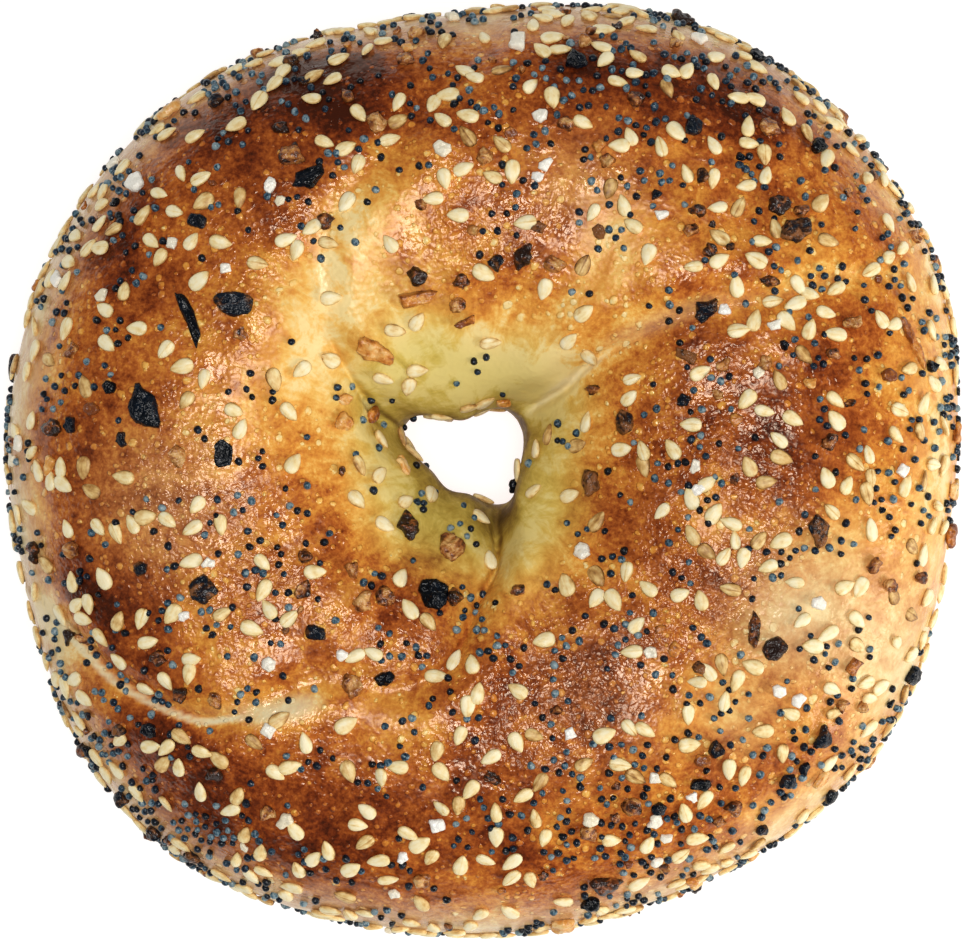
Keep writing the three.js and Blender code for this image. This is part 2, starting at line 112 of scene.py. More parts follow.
# ---------- How the oven coloured the crust, and painted shade in its hollows ---
# A browning patch is (x, y, reach, change), on a scale from pale dough, 0, to nearly burnt, 1.
BAKE_ON_TOP = 0.56
BAKE_AT_EDGE = 0.22
BAKE_UNDERNEATH = 0.5
BAKE_IN_HOLE = 0.16
# Painted shade: how much darker the walls down the hole are painted, where little light reaches them.
PAINTED_SHADE_DOWN_THE_HOLE = 0.3
BROWNING = (
    (-48, 28.4, 9, 0.3), (-54.4, 4, 7, 0.15), (-32.8, 47.8, 10, 0.4), (-18.5, 50.9, 9, 0.38),
    (11, 51.4, 6, 0.3), (22.6, 50.1, 9, 0.33), (33.5, 45, 7, 0.3), (-46.6, -20.3, 7, 0.3),
    (-32.5, -42.2, 10, 0.25), (-18.4, -47.9, 10, 0.22), (-5.6, -48.5, 6, 0.12), (-41.5, -33.2, 5, 0.2),
    (31.3, 3.9, 10, 0.07), (46.7, 6.5, 8, 0.12), (27.5, 15.4, 6, 0.1), (19.9, -1.1, 6, 0.08),
    (-0.5, -38.1, 7, 0.13), (27.8, -46.1, 8, 0.05), (12.3, -51.3, 8, 0.04), (9.7, -26.6, 8, 0.08),
    (-45.2, -8.8, 8, -0.1), (44.2, 19.3, 6, 0.1), (-8.2, -17.8, 5, 0.15), (37.8, 32.1, 5, 0.12),
    (17.3, 40.9, 5, 0.1), (-20.9, 20.5, 9, -0.46), (-26, 12.9, 6, -0.25), (-17.7, 29.4, 6, -0.25),
    (16.8, 30.7, 8, -0.36), (-4.4, 52.8, 5, 0.08), (-7, 18, 7, -0.22), (2, 18, 6, -0.1), (-17, 2, 6, -0.12),
    (-16, 11, 5, -0.15), (-7, -23, 6, 0.12), (4, -21, 5, -0.1), (37, -19, 7, -0.1), (-17.5, -33, 6, 0.1),
    (4.6, 14.3, 9, -0.3), (3.3, -11.4, 8, -0.25), (42.9, -16.5, 8, -0.32), (51, -25.6, 8, -0.24),
    (28.8, -29.2, 7, -0.2), (-29.8, 4, 8, -0.15), (-27.3, -27.9, 8, -0.15), (-60.4, 11.8, 6, -0.3),
    (-57.8, -19.4, 6, -0.4), (59.1, 0.1, 7, -0.25), (57.8, 22.2, 7, -0.2), (51, -2, 6, -0.1),
    (47, -24, 7, -0.12), (57, -10, 9, -0.25), (59, 8, 8, -0.15), (1, -5.6, 3, 0.5), (-7.5, -2, 3.5, 0.2),
    (32.6, 28.2, 7, -0.12), (-8.2, 35.8, 7, -0.12), (43.8, -42.8, 7, -0.15), (-10.8, -3.7, 7, -0.15),
    (-52, -15, 4.5, 0.5), (-12, -31, 6, -0.25), (-14, -38, 5, -0.12), (-3, -44, 4, -0.15), (42, 28, 5, -0.2),
    (-6, -11, 5, 0.22), (29, -5, 5, -0.22), (53, 12, 5, -0.2), (-25, 53, 4.5, 0.45), (-37, -22, 4, -0.2),
    (-28, 18, 5, 0.15), (3, -27, 4, 0.2), (-3, -21, 4, -0.17), (33, -33, 6, -0.2), (-14, 35, 5, -0.2),
    (19, -38, 4, -0.18), (25, 40, 4.5, -0.17), (8, 29, 5, 0.17), (14, -5, 4, 0.17), (36, 1, 4.5, 0.16),
    (36, 23, 4.5, 0.15), (3, 18, 4, 0.15), (53, -5, 5, 0.15), (31, -38, 4, 0.2), (47, -8, 5, -0.2),
    (36, -44, 4, -0.2), (-3, 18, 4, 0.12), (25, 12, 4, -0.15), (25, 18, 4, 0.15), (14, 23, 4, -0.15),
    (36, 46, 5, 0.15), (19, -21, 4, 0.15), (8, -44, 4, -0.13), (14, 46, 4, -0.13),
    (-20, -16, 4, -0.13), (-59, -5, 5, -0.35), (-42, -27, 4, 0.15), (31, -16, 4, 0.18), (31, 40, 4, -0.13),
    (3, -38, 4, 0.13), (-25, 29, 4, 0.12), (-25, -44, 4, -0.13), (36, -16, 4, -0.12), (-53, -5, 4, 0.25),
    (-20, 12, 4, -0.15), (-14, 23, 4, -0.13), (-25, 46, 4, -0.1), (29, -5, 4, -0.1),
)
# Where the olive of the hole's soft dough reaches further out or less far: (x, y, reach, change).
OLIVE_PATCHES = (
    (-9, 17, 6.5, 0.5), (-15, 11, 5, 0.5), (0, 19, 5, -0.25), (-17, -1, 6, -0.2), (13, 2, 5, -0.4),
    (6, -14, 5, 0.2),
)
# Where the crust is more tan than golden: (x, y, reach, amount).
TAN_PATCHES = (
    (44, -17, 10, 0.55), (37, -19, 7, 0.4), (33, -33, 6, 0.3), (53, -25, 8, 0.4), (-41, -4, 9, 0.4),
    (12, 36, 7, 0.25), (15, -29, 8, 0.2),
)
# Where the boiled skin is drawn into fine wrinkles: (x, y, reach, amount).
WRINKLES = (
    (-41.3, -3.7, 11, 1), (-33.6, -11.3, 10, 0.8), (-3.1, 33.3, 11, 0.6), (9.7, -26.6, 12, 1),
    (25, -11.3, 11, 0.9), (27.5, 2.7, 11, 1), (40.3, -16.5, 11, 0.9), (-12, 29.4, 8, 0.2), (-32, 22, 9, 0.6),
    (-30, -34, 9, 0.5),
)
# Pale dough that a fold has bared: (width, points (x, y, amount)).
BARE_FOLDS = (
    (0.6, ((-27, -31, 0.3), (-31.9, -31.6, 1), (-37.4, -31.8, 1), (-46.6, -27.7, 1), (-51.1, -23.7, 1),
        (-56.2, -18.8, 0.9))),
    (2.4, ((-18, -28.6, 0.1), (-23, -30, 0.8), (-28, -31, 0.8), (-31.9, -30.6, 0.5), (-37.4, -30.8, 0.4),
        (-46.6, -27.1, 0.4), (-51.1, -23.1, 0.5), (-56.2, -18.4, 0.6))),
    (2.2, ((-20.6, 22, 0), (-20.4, 30.6, 0.15), (-13.4, 39.4, 0.15), (-9.5, 45.1, 0))),
    (0.9, ((5.4, 7.2, 0.6), (9.7, 10.7, 0.9), (13, 13, 0.7), (16.5, 15.4, 0.3), (21, 18.2, 0))),
    (1.7, ((7, 8.2, 0.5), (10, 11, 0.6), (14, 14, 0))),
    (2.8, ((12.4, 13.4, 0.2), (17.4, 16.8, 0.5), (27.5, 21, 0.5), (36.6, 22.3, 0.4), (47, 25.2, 0.4),
        (52.2, 26.4, 0.3))),
)
# Painted shade in the creases where two parts of the dough meet, as dark lines and one wider shadow below the
# hole: (width, points (x, y, amount)).
SEAM_SHADOWS = (
    (0.45, ((1.9, -4.4, 0.9), (1.9, -10.5, 0.8), (-0.9, -16.9, 0.5), (-4.2, -24.2, 0.4), (-7.5, -27.2, 0))),
    (0.4, ((-11.2, 6, 0.9), (-13.3, 7.8, 0.6), (-16.8, 12.1, 0.15), (-19.4, 16.6, 0.1), (-20.2, 19.1, 0))),
    (1.7, ((2.4, -3.8, 0.9), (2.2, -7, 0.6), (1.2, -11, 0))),
)

# ---------- Toppings ----------
# Onion flakes, each (x, y, length, width, turn in degrees).
CHARRED_FLAKES = (
    (-43.1, 7.9, 7.9, 4.2, -78), (-35.9, -15.4, 4.5, 3.9, 30), (-6.1, -15.9, 4.7, 3.3, -60),
    (28.3, 20.8, 3.7, 3.3, 20), (42.4, -7.5, 4.5, 2.8, -78), (-22.1, 37.2, 5.3, 2.9, 35),
    (-37.5, 19.2, 7.9, 1.6, -68), (-31.9, 21.4, 5.5, 3.2, -10), (-33.3, 2.2, 3.3, 2.9, 10),
    (11.8, 52.1, 3.2, 2.6, 5), (42.7, 41.6, 3.0, 2.2, -65), (40.0, 30.3, 5.0, 3.3, 17),
    (18.3, 6.5, 3.6, 2.2, -70), (14.2, -1.5, 3.6, 3.0, 70), (-21.5, -20.5, 3.2, 2.0, -5),
    (13.6, -55.3, 3.2, 2.1, 10), (27.6, -39.8, 3.2, 1.7, 10), (43.3, -34.2, 4.9, 2.2, 80),
    (26.7, 43.7, 3.3, 2.5, -70), (-36.5, 31.9, 2.8, 2.4, 35), (-47.5, 10.6, 2.6, 1.8, 0),
    (-52.5, 5.9, 2.6, 1.8, 60), (25.7, 14.8, 2.8, 1.3, -25), (25.6, 8.9, 2.4, 1.6, 20),
    (-42.3, -32.9, 2.6, 2.0, -60), (-43.9, -48.0, 2.6, 2.2, 0), (-46.7, -42.3, 2.4, 2.0, 40),
    (-12.6, -26.4, 2.6, 1.8, 40), (-37.5, -49.8, 2.4, 1.8, 20), (29.6, -35.6, 2.6, 2.2, 80),
    (22.3, -42.6, 2.4, 1.8, 30), (38.7, -39.7, 2.6, 2.0, 0), (41.0, -38.1, 2.4, 1.6, 60),
    (-43.6, -12.4, 2.4, 1.8, 10), (-24.8, 52.8, 2.6, 1.8, 0), (-34.5, 47.5, 2.6, 1.8, 50),
    (35.5, 54.1, 2.6, 1.8, -40), (45.0, -42.3, 2.6, 1.8, 20),
)
TOASTED_FLAKES = (
    (-24.8, 40.0, 4.7, 3.0, 27), (-13.8, 44.3, 3.0, 2.8, 0), (0.3, 40.0, 3.0, 2.9, 0),
    (-8.3, 24.9, 3.0, 2.8, 40), (5.1, 27.3, 4.5, 2.6, 50), (-39.0, 1.8, 3.6, 3.4, 15),
    (-54.8, 5.5, 4.2, 2.2, 5), (-58.0, -10.2, 3.3, 2.5, -80), (-9.8, -7.5, 3.6, 3.2, 20),
    (-4.1, -10.1, 4.7, 4.2, 50), (-12.5, -16.3, 3.2, 2.6, 30), (43.6, 3.6, 3.0, 2.5, 0),
    (36.3, 44.2, 3.7, 2.4, -10), (37.7, 34.2, 4.2, 2.8, 65), (34.4, -20.5, 5.1, 2.0, 82),
    (37.0, -22.3, 3.7, 2.6, 62), (15.5, -52.7, 5.7, 3.2, -14), (-8.0, -52.1, 3.7, 2.0, 0),
    (-16.6, -27.3, 3.7, 2.4, -80), (-17.6, 47.8, 2.6, 2.0, 20), (-9.9, 52.7, 2.6, 2.0, 0),
    (10.6, 44.0, 2.6, 2.1, 10), (19.4, 47.3, 2.6, 2.0, -30), (15.8, 39.4, 2.6, 2.1, 50),
    (-2.9, 24.1, 2.8, 2.2, 15), (8.9, 26.3, 2.9, 2.0, -30), (-3.4, 21.5, 2.6, 2.0, 0),
    (-20.3, 31.9, 2.6, 1.8, 60), (-30.8, 17.5, 2.6, 2.0, -40), (-52.6, 15.5, 2.6, 2.0, 30),
    (-52.7, -9.9, 2.6, 2.0, 30), (-23.1, -11.0, 2.9, 2.1, 0), (-23.2, -15.2, 2.9, 2.1, 50),
    (-3.7, -16.1, 2.9, 2.1, 0), (-15.6, -16.8, 2.9, 2.4, 0), (-17.2, -12.8, 2.6, 2.0, 70),
    (35.8, 13.9, 2.9, 2.1, 20), (46.9, 18.9, 2.9, 2.1, -20), (44.4, 14.7, 2.6, 2.0, 40),
    (49.4, -11.9, 2.6, 2.0, 60), (36.1, 24.2, 2.9, 1.8, 0), (40.4, 33.2, 2.6, 1.8, 20),
    (27.1, 33.1, 2.9, 2.0, 0), (13.4, -45.9, 2.9, 2.1, 20), (18.9, -42.6, 2.9, 2.0, -20),
    (32.0, -42.8, 2.6, 2.0, 10), (30.1, -44.7, 2.6, 2.0, 50), (-41.4, -23.9, 2.6, 2.0, 0),
    (-38.6, -28.7, 2.9, 2.0, 30), (-34.1, -29.0, 2.9, 2.0, -30), (-34.2, -38.4, 2.9, 2.0, 10),
    (-27.6, -43.4, 2.6, 2.0, 60),
)
GOLDEN_FLAKES = (
    (-14.2, 16.1, 5.7, 3.0, -30), (-18.3, 6.3, 3.4, 2.6, -40), (-9.1, 22.2, 6.1, 2.2, 5),
    (54.9, 16.3, 7.9, 1.2, -55), (47.1, -24.6, 3.4, 1.6, 50), (-13.3, 6.7, 3.2, 1.6, 20),
    (-10.9, 0.6, 3.4, 1.4, -60), (2.5, 9.7, 3.2, 1.4, 10), (-55.4, 0.9, 3.2, 1.3, 70),
    (-17.8, 9.2, 2.6, 1.3, 0), (-2.4, 19.3, 2.9, 1.3, 30), (43.2, -39.7, 3.2, 1.6, 30),
    (61.5, 5.2, 3.2, 1.4, 80), (62.0, -2.5, 3.2, 1.4, -80),
)
SALT_GRAINS = (
    (4.5, 54.4, 3.0, 2.3, 0), (-4.0, 58.7, 2.4, 1.7, 20), (-5.2, 40.9, 2.6, 1.8, 0),
    (-44.7, 36.8, 3.0, 2.2, 30), (-27.3, 36.4, 2.4, 1.3, 80), (7.8, 38.9, 2.3, 1.4, 40),
    (6.8, 37.5, 1.8, 1.1, 0), (7.3, 45.1, 2.1, 1.5, 0), (22.6, 32.6, 1.7, 1.3, 0),
    (30.7, 20.5, 2.0, 1.4, 20), (-35.2, -11.7, 1.9, 1.4, 0), (-38.1, -18.4, 1.7, 1.2, 30),
    (-27.4, -24.6, 1.9, 1.6, 0), (-27.3, -32.9, 2.1, 1.6, 50), (-18.1, -23.4, 1.6, 1.2, 0),
    (12.9, -10.6, 2.2, 2.0, 0), (27.1, 0.5, 2.0, 1.3, 80), (34.9, 12.5, 1.6, 1.3, 0),
    (42.3, -16.7, 2.1, 1.6, 40), (21.3, -23.1, 2.0, 1.4, 0), (37.5, -28.0, 2.1, 1.6, 0),
    (11.0, -33.4, 1.8, 1.3, 30), (13.5, -44.1, 2.1, 1.6, 0), (21.6, -39.1, 1.7, 1.3, 0),
    (26.4, -41.5, 1.6, 1.3, 60), (23.1, -46.7, 1.7, 1.3, 0), (-6.0, -45.0, 2.1, 1.6, 0),
    (-10.4, -49.3, 1.7, 1.3, 20), (-11.5, -54.2, 1.6, 1.3, 0), (22.1, -49.8, 1.7, 1.3, 0),
)
# The flakes at the head of each list are the ones that the solid has too.
SOLID_FLAKES = CHARRED_FLAKES[:19] + TOASTED_FLAKES[:19] + GOLDEN_FLAKES[:5]
SIDE_FLAKE_COUNT = 14
SIDE_FLAKE_SIZE = (2.4, 4.4)
SIDE_FLAKE_SLENDERNESS = 0.6
SIDE_FLAKE_SPACING = 6
FLAKE_CLEARANCE = 0.8
BAR_SHARE = 0.6
FLAKE_FULLNESS = 1.2
FLAKE_STOUTNESS = 0.55
FLAKE_TILT = (0.3, 0.2)
SMALL_FLAKE_COUNT = 150
SMALL_FLAKE_SIZE = (1.2, 2.6)
SMALL_FLAKE_SLENDERNESS = 0.7
SMALL_FLAKE_SPACING = 2

SEED_LENGTH = 3.0
SEED_WIDTH = 1.95
SEED_THICKNESS = 0.95
SEED_SIZE = (0.85, 1.08)
SEED_SPACING = 1.9
SEED_COUNT = 830
SEED_PLUMPNESS = (0.88, 1.1)
SEED_LIFT = 0.36
# The shares of the seeds that stand steep, that are sunk in the skin, and that are toasted.
STEEP_SEEDS = 0.1
SUNK_SEEDS = 0.07
TOASTED_SEEDS = 0.12
STEEP_TILT = 0.5
FLAT_TILT = 0.16
# How much darker a toasted seed is, and one that the glaze has covered.
TOASTED_TONE = 0.28
SUNK_TONE = 0.45
# No seed lies where a fold has bared more of the dough than this.
BARED_LIMIT = 0.3
# The seeds that lie round the hole, each (x, y, turn in degrees).
HOLE_SEEDS = (
    (-8.6, 13.5, 0), (-2.1, 9.2, 10), (-0.2, 9.9, 60), (-8.5, 19.3, 60), (-11.4, 18.2, -10), (0.8, 16.7, 5),
    (11.1, 17.0, 50), (8.2, 4.7, 80), (12.1, 3.3, 10), (13.4, 6.3, 70), (11.4, -3.2, 10), (-10.4, -4.1, 30),
    (-13.0, -7.1, -20), (-12.9, 4.1, -15), (-16.3, 0.5, -70), (-13.1, 12.4, -30), (-0.2, -5.2, 0),
    (0.8, -10.4, 85), (-10.8, -13.8, 60), (-6.0, -13.8, -20), (-16.5, -3.9, -50), (-9.5, -6.2, -30),
)
# Where the seeds lie thicker or thinner: (x, y, reach, gain).
TOPPING_ZONES = (
    (-31, -2, 15, -0.5), (-17, 25, 12, -0.5), (18, 24, 9, -0.35), (8, -13, 10, -0.5), (36, 40, 15, 0.45),
    (8, 53, 14, 0.4), (20, -47, 17, 0.4), (-34, -46, 12, 0.2),
)
SPARSE_RADIUS = 14
DENSE_RADIUS = 34
STICK_SHARE = 0.55
SPARSE_SHARE = 0.3
UNDERSIDE_SHARE = 0.3
BASE_CLEARANCE = 1.6
# No part of the crust is larger than this, in square millimetres for a radian each of azimuth and turn.
LARGEST_AREA = 1900

POPPY_SIZE = 1.12
POPPY_EVENNESS = (0.8, 1.12)
POPPY_COUNT = 1900
POPPY_CLUMP = 2.3
POPPIES_IN_CLUMP = 4
CLUMP_SPACING = 1.2
POPPY_SPACING = 0.95
POPPY_FROM_SEED = 1.25
POPPY_NEARER_FLAKE = 0.4
POPPY_LIFT = 0.2
# The share of the poppy seeds that lie loose round a clump, and how much further out.
LOOSE_POPPY = 0.3
LOOSE_SPREAD = 4
FLAKE_FROM_SEED = 1.3
SECTION_RADIUS = 24
DARTS_AT_ONCE = 4000
POPPY_ZONES = (
    (30, 37, 10, 0.8), (48, 23, 10, 0.9), (15, -32, 13, 0.6), (-49, 5, 8, 0.4), (20, -42, 9, 0.8),
    (-24, 49, 12, 0.4), (10, 53, 8, 0.6), (48, -1, 10, 0.4), (-30, -46, 11, 0.3), (38, -29, 9, 0.6),
    (20, -16, 8, 0.5), (-44, 28, 7, 0.3), (-17, 25, 12, -0.6), (0, 2, 14, -0.6), (44, -16, 7, -0.4),
    (-60, -22, 12, -0.7), (-60, 20, 9, -0.4), (30, -40, 11, 0.7), (8, -51, 8, 0.5),
)


# ---------- Helpers ----------
def seeded_numbers(seed):
    """A Park-Miller generator: the same numbers each run, from 0 to 1."""
    state = seed
    while True:
        state = (state * 48271) % 2147483647
        yield state / 2147483647


def smooth_step(low, high, value):
    share = np.clip((value - low) / (high - low), 0, 1)
    return share * share * (3 - 2 * share)


def mix(start, end, share):
    return start + (end - start) * share


def signed_power(value, power):
    return np.sign(value) * np.abs(value) ** power


def blobs(patches, x, y):
    """The sum of soft round patches (x, y, reach, height) at places on the plan."""
    return sum(
        height * np.exp(-((x - px) ** 2 + (y - py) ** 2) / reach ** 2) for px, py, reach, height in patches)


def linear(hex_colour):
    """A colour given as sRGB hex, as the linear RGBA that shaders take."""
    channels = [int(hex_colour[k:k + 2], 16) / 255 for k in (1, 3, 5)]
    return [c / 12.92 if c <= 0.04045 else ((c + 0.055) / 1.055) ** 2.4 for c in channels] + [1]


def add(tree, kind, inputs=None, **settings):
    """Adds a node with its settings. An input takes a value, an output, or another node's first output."""
    node = tree.nodes.new(kind)
    for name, value in settings.items():
        setattr(node, name, value)
    for socket, value in (inputs or {}).items():
        if isinstance(value, bpy.types.Node):
            value = value.outputs[0]
        if isinstance(value, bpy.types.NodeSocket):
            tree.links.new(value, node.inputs[socket])
        else:
            node.inputs[socket].default_value = value
    return node


def new_material(name):
    material = bpy.data.materials.new(name)
    material.use_nodes = True
    material.node_tree.nodes.clear()
    return material, material.node_tree


# ---------- The dough's form ----------
def wavy_radius(mean, waves, azimuth):
    return mean + sum(
        height * np.cos(count * (azimuth - math.radians(crest))) for count, height, crest in waves)


def smooth_ring(azimuth, turn):
    """The ring before its relief. turn is 0 at the outer equator and half a turn at the waist of the hole."""
    across = 0.5 + 0.5 * signed_power(np.cos(turn), SIDE_FULLNESS)
    hole = wavy_radius(HOLE_RADIUS, HOLE_WAVES, azimuth)
    outer = wavy_radius(OUTER_RADIUS, OUTER_WAVES, azimuth)
    radius = mix(hole, outer, across)
    widest = mix(WAIST_HEIGHT, EQUATOR_HEIGHT, across)
    rise = np.sin(turn)
    upper = widest + (CREST_HEIGHT - widest) * np.maximum(rise, 0) ** TOP_FULLNESS
    lower = widest * (1 - BASE_FLATTENING * np.maximum(-rise, 0) ** BASE_FULLNESS)
    return np.stack([
        HOLE_CENTRE[0] * (1 - across) + radius * np.cos(azimuth),
        HOLE_CENTRE[1] * (1 - across) + radius * np.sin(azimuth),
        np.where(rise >= 0, upper, lower),
    ], axis=-1)


def span_of(azimuth, turn):
    """The outward normal and the area that a unit step of azimuth and of turn covers."""
    step = 1e-3
    along = smooth_ring(azimuth + step, turn) - smooth_ring(azimuth - step, turn)
    round_section = smooth_ring(azimuth, turn + step) - smooth_ring(azimuth, turn - step)
    cross = np.cross(along, round_section)
    length = np.linalg.norm(cross, axis=-1)
    return cross / length[..., None], length / (4 * step * step)


def catmull_rom(points, steps):
    """Rows along a Catmull-Rom curve through rows of any length."""
    points = np.array(points, float)
    last = len(points) - 1
    line = []
    for i in range(last):
        a, b, c, d = (points[min(max(i + k, 0), last)] for k in (-1, 0, 1, 2))
        for s in range(steps):
            t = s / steps
            line.append(0.5 * (2 * b + (c - a) * t + (2 * a - 5 * b + 4 * c - d) * t ** 2
                               + (3 * b - a - 3 * c + d) * t ** 3))
    line.append(points[last])
    return np.array(line)


def nearest_on(line, x, y):
    """The signed distance to a line of rows (x, y, value), positive to its left, and its value there."""
    distance = np.full(np.shape(x), np.inf)
    value = np.zeros(np.shape(x))
    for (ax, ay, av), (bx, by, bv) in zip(line[:-1], line[1:]):
        dx, dy = bx - ax, by - ay
        share = np.clip(((x - ax) * dx + (y - ay) * dy) / (dx * dx + dy * dy), 0, 1)
        off_x, off_y = x - ax - share * dx, y - ay - share * dy
        away = np.hypot(off_x, off_y)
        closer = away < np.abs(distance)
        distance = np.where(closer, away * np.where(dx * off_y - dy * off_x < 0, -1, 1), distance)
        value = np.where(closer, mix(av, bv, share), value)
    return distance, value


def relief(x, y, z):
    """How far the crust stands proud of the smooth ring, from its swells and creases."""
    height = blobs(SWELLS, x, y)
    for width, lip, points in CREASES:
        distance, depth = nearest_on(catmull_rom(points, CREASE_STEPS), x, y)
        lip_distance = np.sign(lip) * distance - LIP_PLACE * width
        height -= depth * np.exp(-((distance / width) ** 2))
        fold = FOLD_SHARE * depth * smooth_step(*FOLD_DEPTHS, depth)
        height -= fold * np.exp(-((distance / FOLD_WIDTH) ** 2))
        height += abs(lip) * depth * np.exp(-((lip_distance / (LIP_REACH * width)) ** 2))
    return height * smooth_step(*CREASE_FOOT, z)


def crust_points(azimuth, turn):
    point = smooth_ring(azimuth, turn)
    height = relief(point[..., 0], point[..., 1], point[..., 2])
    point = point + span_of(azimuth, turn)[0] * height[..., None]
    point[..., 2] = np.maximum(point[..., 2], 0)
    return point


def crust_over(x, y):
    """The azimuth and turn of the upper crust over a place on the plan."""
    across = 0.5
    azimuth = 0.0
    for _ in range(12):
        off_x = x - HOLE_CENTRE[0] * (1 - across)
        off_y = y - HOLE_CENTRE[1] * (1 - across)
        azimuth = math.atan2(off_y, off_x)
        hole = wavy_radius(HOLE_RADIUS, HOLE_WAVES, azimuth)
        outer = wavy_radius(OUTER_RADIUS, OUTER_WAVES, azimuth)
        across = min(max((math.hypot(off_x, off_y) - hole) / (outer - hole), 0.02), 0.98)
    return azimuth, math.acos(signed_power(2 * across - 1, 1 / SIDE_FULLNESS))


# ---------- Meshes ----------
def mesh_object(name, points_mm, faces, material=None, **attributes):
    """An object at the origin from points in millimetres, with float or vector attributes on its points."""
    mesh = bpy.data.meshes.new(name)
    mesh.from_pydata((np.asarray(points_mm) * MM).tolist(), [], faces)
    for key, values in attributes.items():
        values = np.asarray(values, np.float32)
        kind = "FLOAT_VECTOR" if values.ndim == 2 else "FLOAT"
        attribute = mesh.attributes.new(key, kind, "POINT")
        attribute.data.foreach_set("vector" if values.ndim == 2 else "value", values.ravel())
    if material:
        mesh.materials.append(material)
    mesh.polygons.foreach_set("use_smooth", [True] * len(mesh.polygons))
    mesh.update()
    made = bpy.data.objects.new(name, mesh)
    bpy.context.scene.collection.objects.link(made)
    return made


def new_geometry_tree(name, **inputs):
    """A Geometry Nodes tree with named inputs, its input node, and its output node."""
    tree = bpy.data.node_groups.new(name, "GeometryNodeTree")
    tree.interface.new_socket("Geometry", in_out="INPUT", socket_type="NodeSocketGeometry")
    tree.interface.new_socket("Geometry", in_out="OUTPUT", socket_type="NodeSocketGeometry")
    for key, kind in inputs.items():
        tree.interface.new_socket(key, in_out="INPUT", socket_type="NodeSocket" + kind)
    return tree, add(tree, "NodeGroupInput"), add(tree, "NodeGroupOutput")


def grown(obj, tree, **values):
    """Runs a Geometry Nodes tree on an object, with values by socket name, and keeps the plain mesh."""
    modifier = obj.modifiers.new(tree.name, "NODES")
    modifier.node_group = tree
    for item in tree.interface.items_tree:
        if item.in_out == "INPUT" and item.name in values:
            modifier[item.identifier] = values[item.name]
    graph = bpy.context.evaluated_depsgraph_get()
    mesh = bpy.data.meshes.new_from_object(obj.evaluated_get(graph), depsgraph=graph)
    obj.modifiers.remove(modifier)
    mesh.name = obj.name
    obj.data = mesh
    return obj


def finished(obj):
    """Keeps a piece within the solid's box, and lets it ride on the one body."""
    count = len(obj.data.vertices)
    points = np.empty(count * 3, np.float32)
    obj.data.vertices.foreach_get("co", points)
    inside = np.clip(points.reshape(-1, 3), np.array(cad_low), np.array(cad_high))
    obj.data.vertices.foreach_set("co", inside.ravel())
    obj.data.update()
    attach(obj, "root")
    return obj


def noise_height(tree, size, height, detail, roughness):
    """A signed height field from 3-D noise, in the units of its size and height sockets."""
    scale = add(tree, "ShaderNodeMath", {0: 1.0, 1: size}, operation="DIVIDE")
    noise = add(tree, "ShaderNodeTexNoise", {"Scale": scale, "Detail": detail, "Roughness": roughness})
    centred = add(tree, "ShaderNodeMath", {0: noise, 1: 0.5}, operation="SUBTRACT")
    doubled = add(tree, "ShaderNodeMath", {0: height, 1: 2.0}, operation="MULTIPLY")
    return add(tree, "ShaderNodeMath", {0: centred, 1: doubled}, operation="MULTIPLY")


def pushed_out(tree, geometry, height):
    """Moves a geometry's points along their normals."""
    normal = add(tree, "GeometryNodeInputNormal")
    push = add(tree, "ShaderNodeVectorMath", {0: normal, "Scale": height}, operation="SCALE")
    return add(tree, "GeometryNodeSetPosition", {"Geometry": geometry, "Offset": push})


def relief_tree(name, coarse, fine, details, mask=None):
    """Coarse and fine relief that pushes a skin along its normals, by the share that an attribute gives."""
    sockets = [f"{part}_{measure}" for part in (coarse, fine) for measure in ("size", "height")]
    tree, given, out = new_geometry_tree(name, **dict.fromkeys(sockets, "Float"))
    coarse_height, fine_height = (
        noise_height(tree, given.outputs[part + "_size"], given.outputs[part + "_height"], detail, roughness)
        for part, detail, roughness in zip((coarse, fine), details, (0.5, 0.6)))
    height = add(tree, "ShaderNodeMath", {0: coarse_height, 1: fine_height}, operation="ADD")
    if mask:
        share = add(tree, "GeometryNodeInputNamedAttribute", {"Name": mask}, data_type="FLOAT")
        height = add(tree, "ShaderNodeMath", {0: height, 1: share}, operation="MULTIPLY")
    moved = pushed_out(tree, given.outputs["Geometry"], height)
    tree.links.new(moved.outputs[0], out.inputs["Geometry"])
    return tree


def scatter_tree():
    """Sets forms on points, each with a turn and stretch, and roughens them so that no two are alike."""
    tree, given, out = new_geometry_tree(
        "Scattered_toppings", Forms="Collection", Wobble_size="Float", Wobble_height="Float",
        Finish="Material")
    forms = add(tree, "GeometryNodeCollectionInfo", {
        "Collection": given.outputs["Forms"], "Separate Children": True, "Reset Children": True})
    form, turn, stretch = (
        add(tree, "GeometryNodeInputNamedAttribute", {"Name": name}, data_type=kind)
        for name, kind in (("form", "INT"), ("turn", "QUATERNION"), ("stretch", "FLOAT_VECTOR")))
    placed = add(tree, "GeometryNodeInstanceOnPoints", {
        "Points": given.outputs["Geometry"], "Instance": forms, "Pick Instance": True,
        "Instance Index": form, "Rotation": turn, "Scale": stretch})
    real = add(tree, "GeometryNodeRealizeInstances", {"Geometry": placed})
    wobble = noise_height(tree, given.outputs["Wobble_size"], given.outputs["Wobble_height"], 1.0, 0.5)
    smooth = add(tree, "GeometryNodeSetShadeSmooth", {"Geometry": pushed_out(tree, real.outputs[0], wobble)})
    coated = add(tree, "GeometryNodeSetMaterial", {"Geometry": smooth, "Material": given.outputs["Finish"]})
    tree.links.new(coated.outputs[0], out.inputs["Geometry"])
    return tree


# ---------- Materials ----------
def toned(tree, shade, stops):
    """The colours that a shade runs through, given as (place from 0 to 1, sRGB hex)."""
    ramp = add(tree, "ShaderNodeValToRGB", {"Fac": shade})
    elements = ramp.color_ramp.elements
    while len(elements) < len(stops):
        elements.new(0.5)
    for element, (place, colour) in zip(elements, stops):
        element.position = place
        element.color = linear(colour)
    return ramp


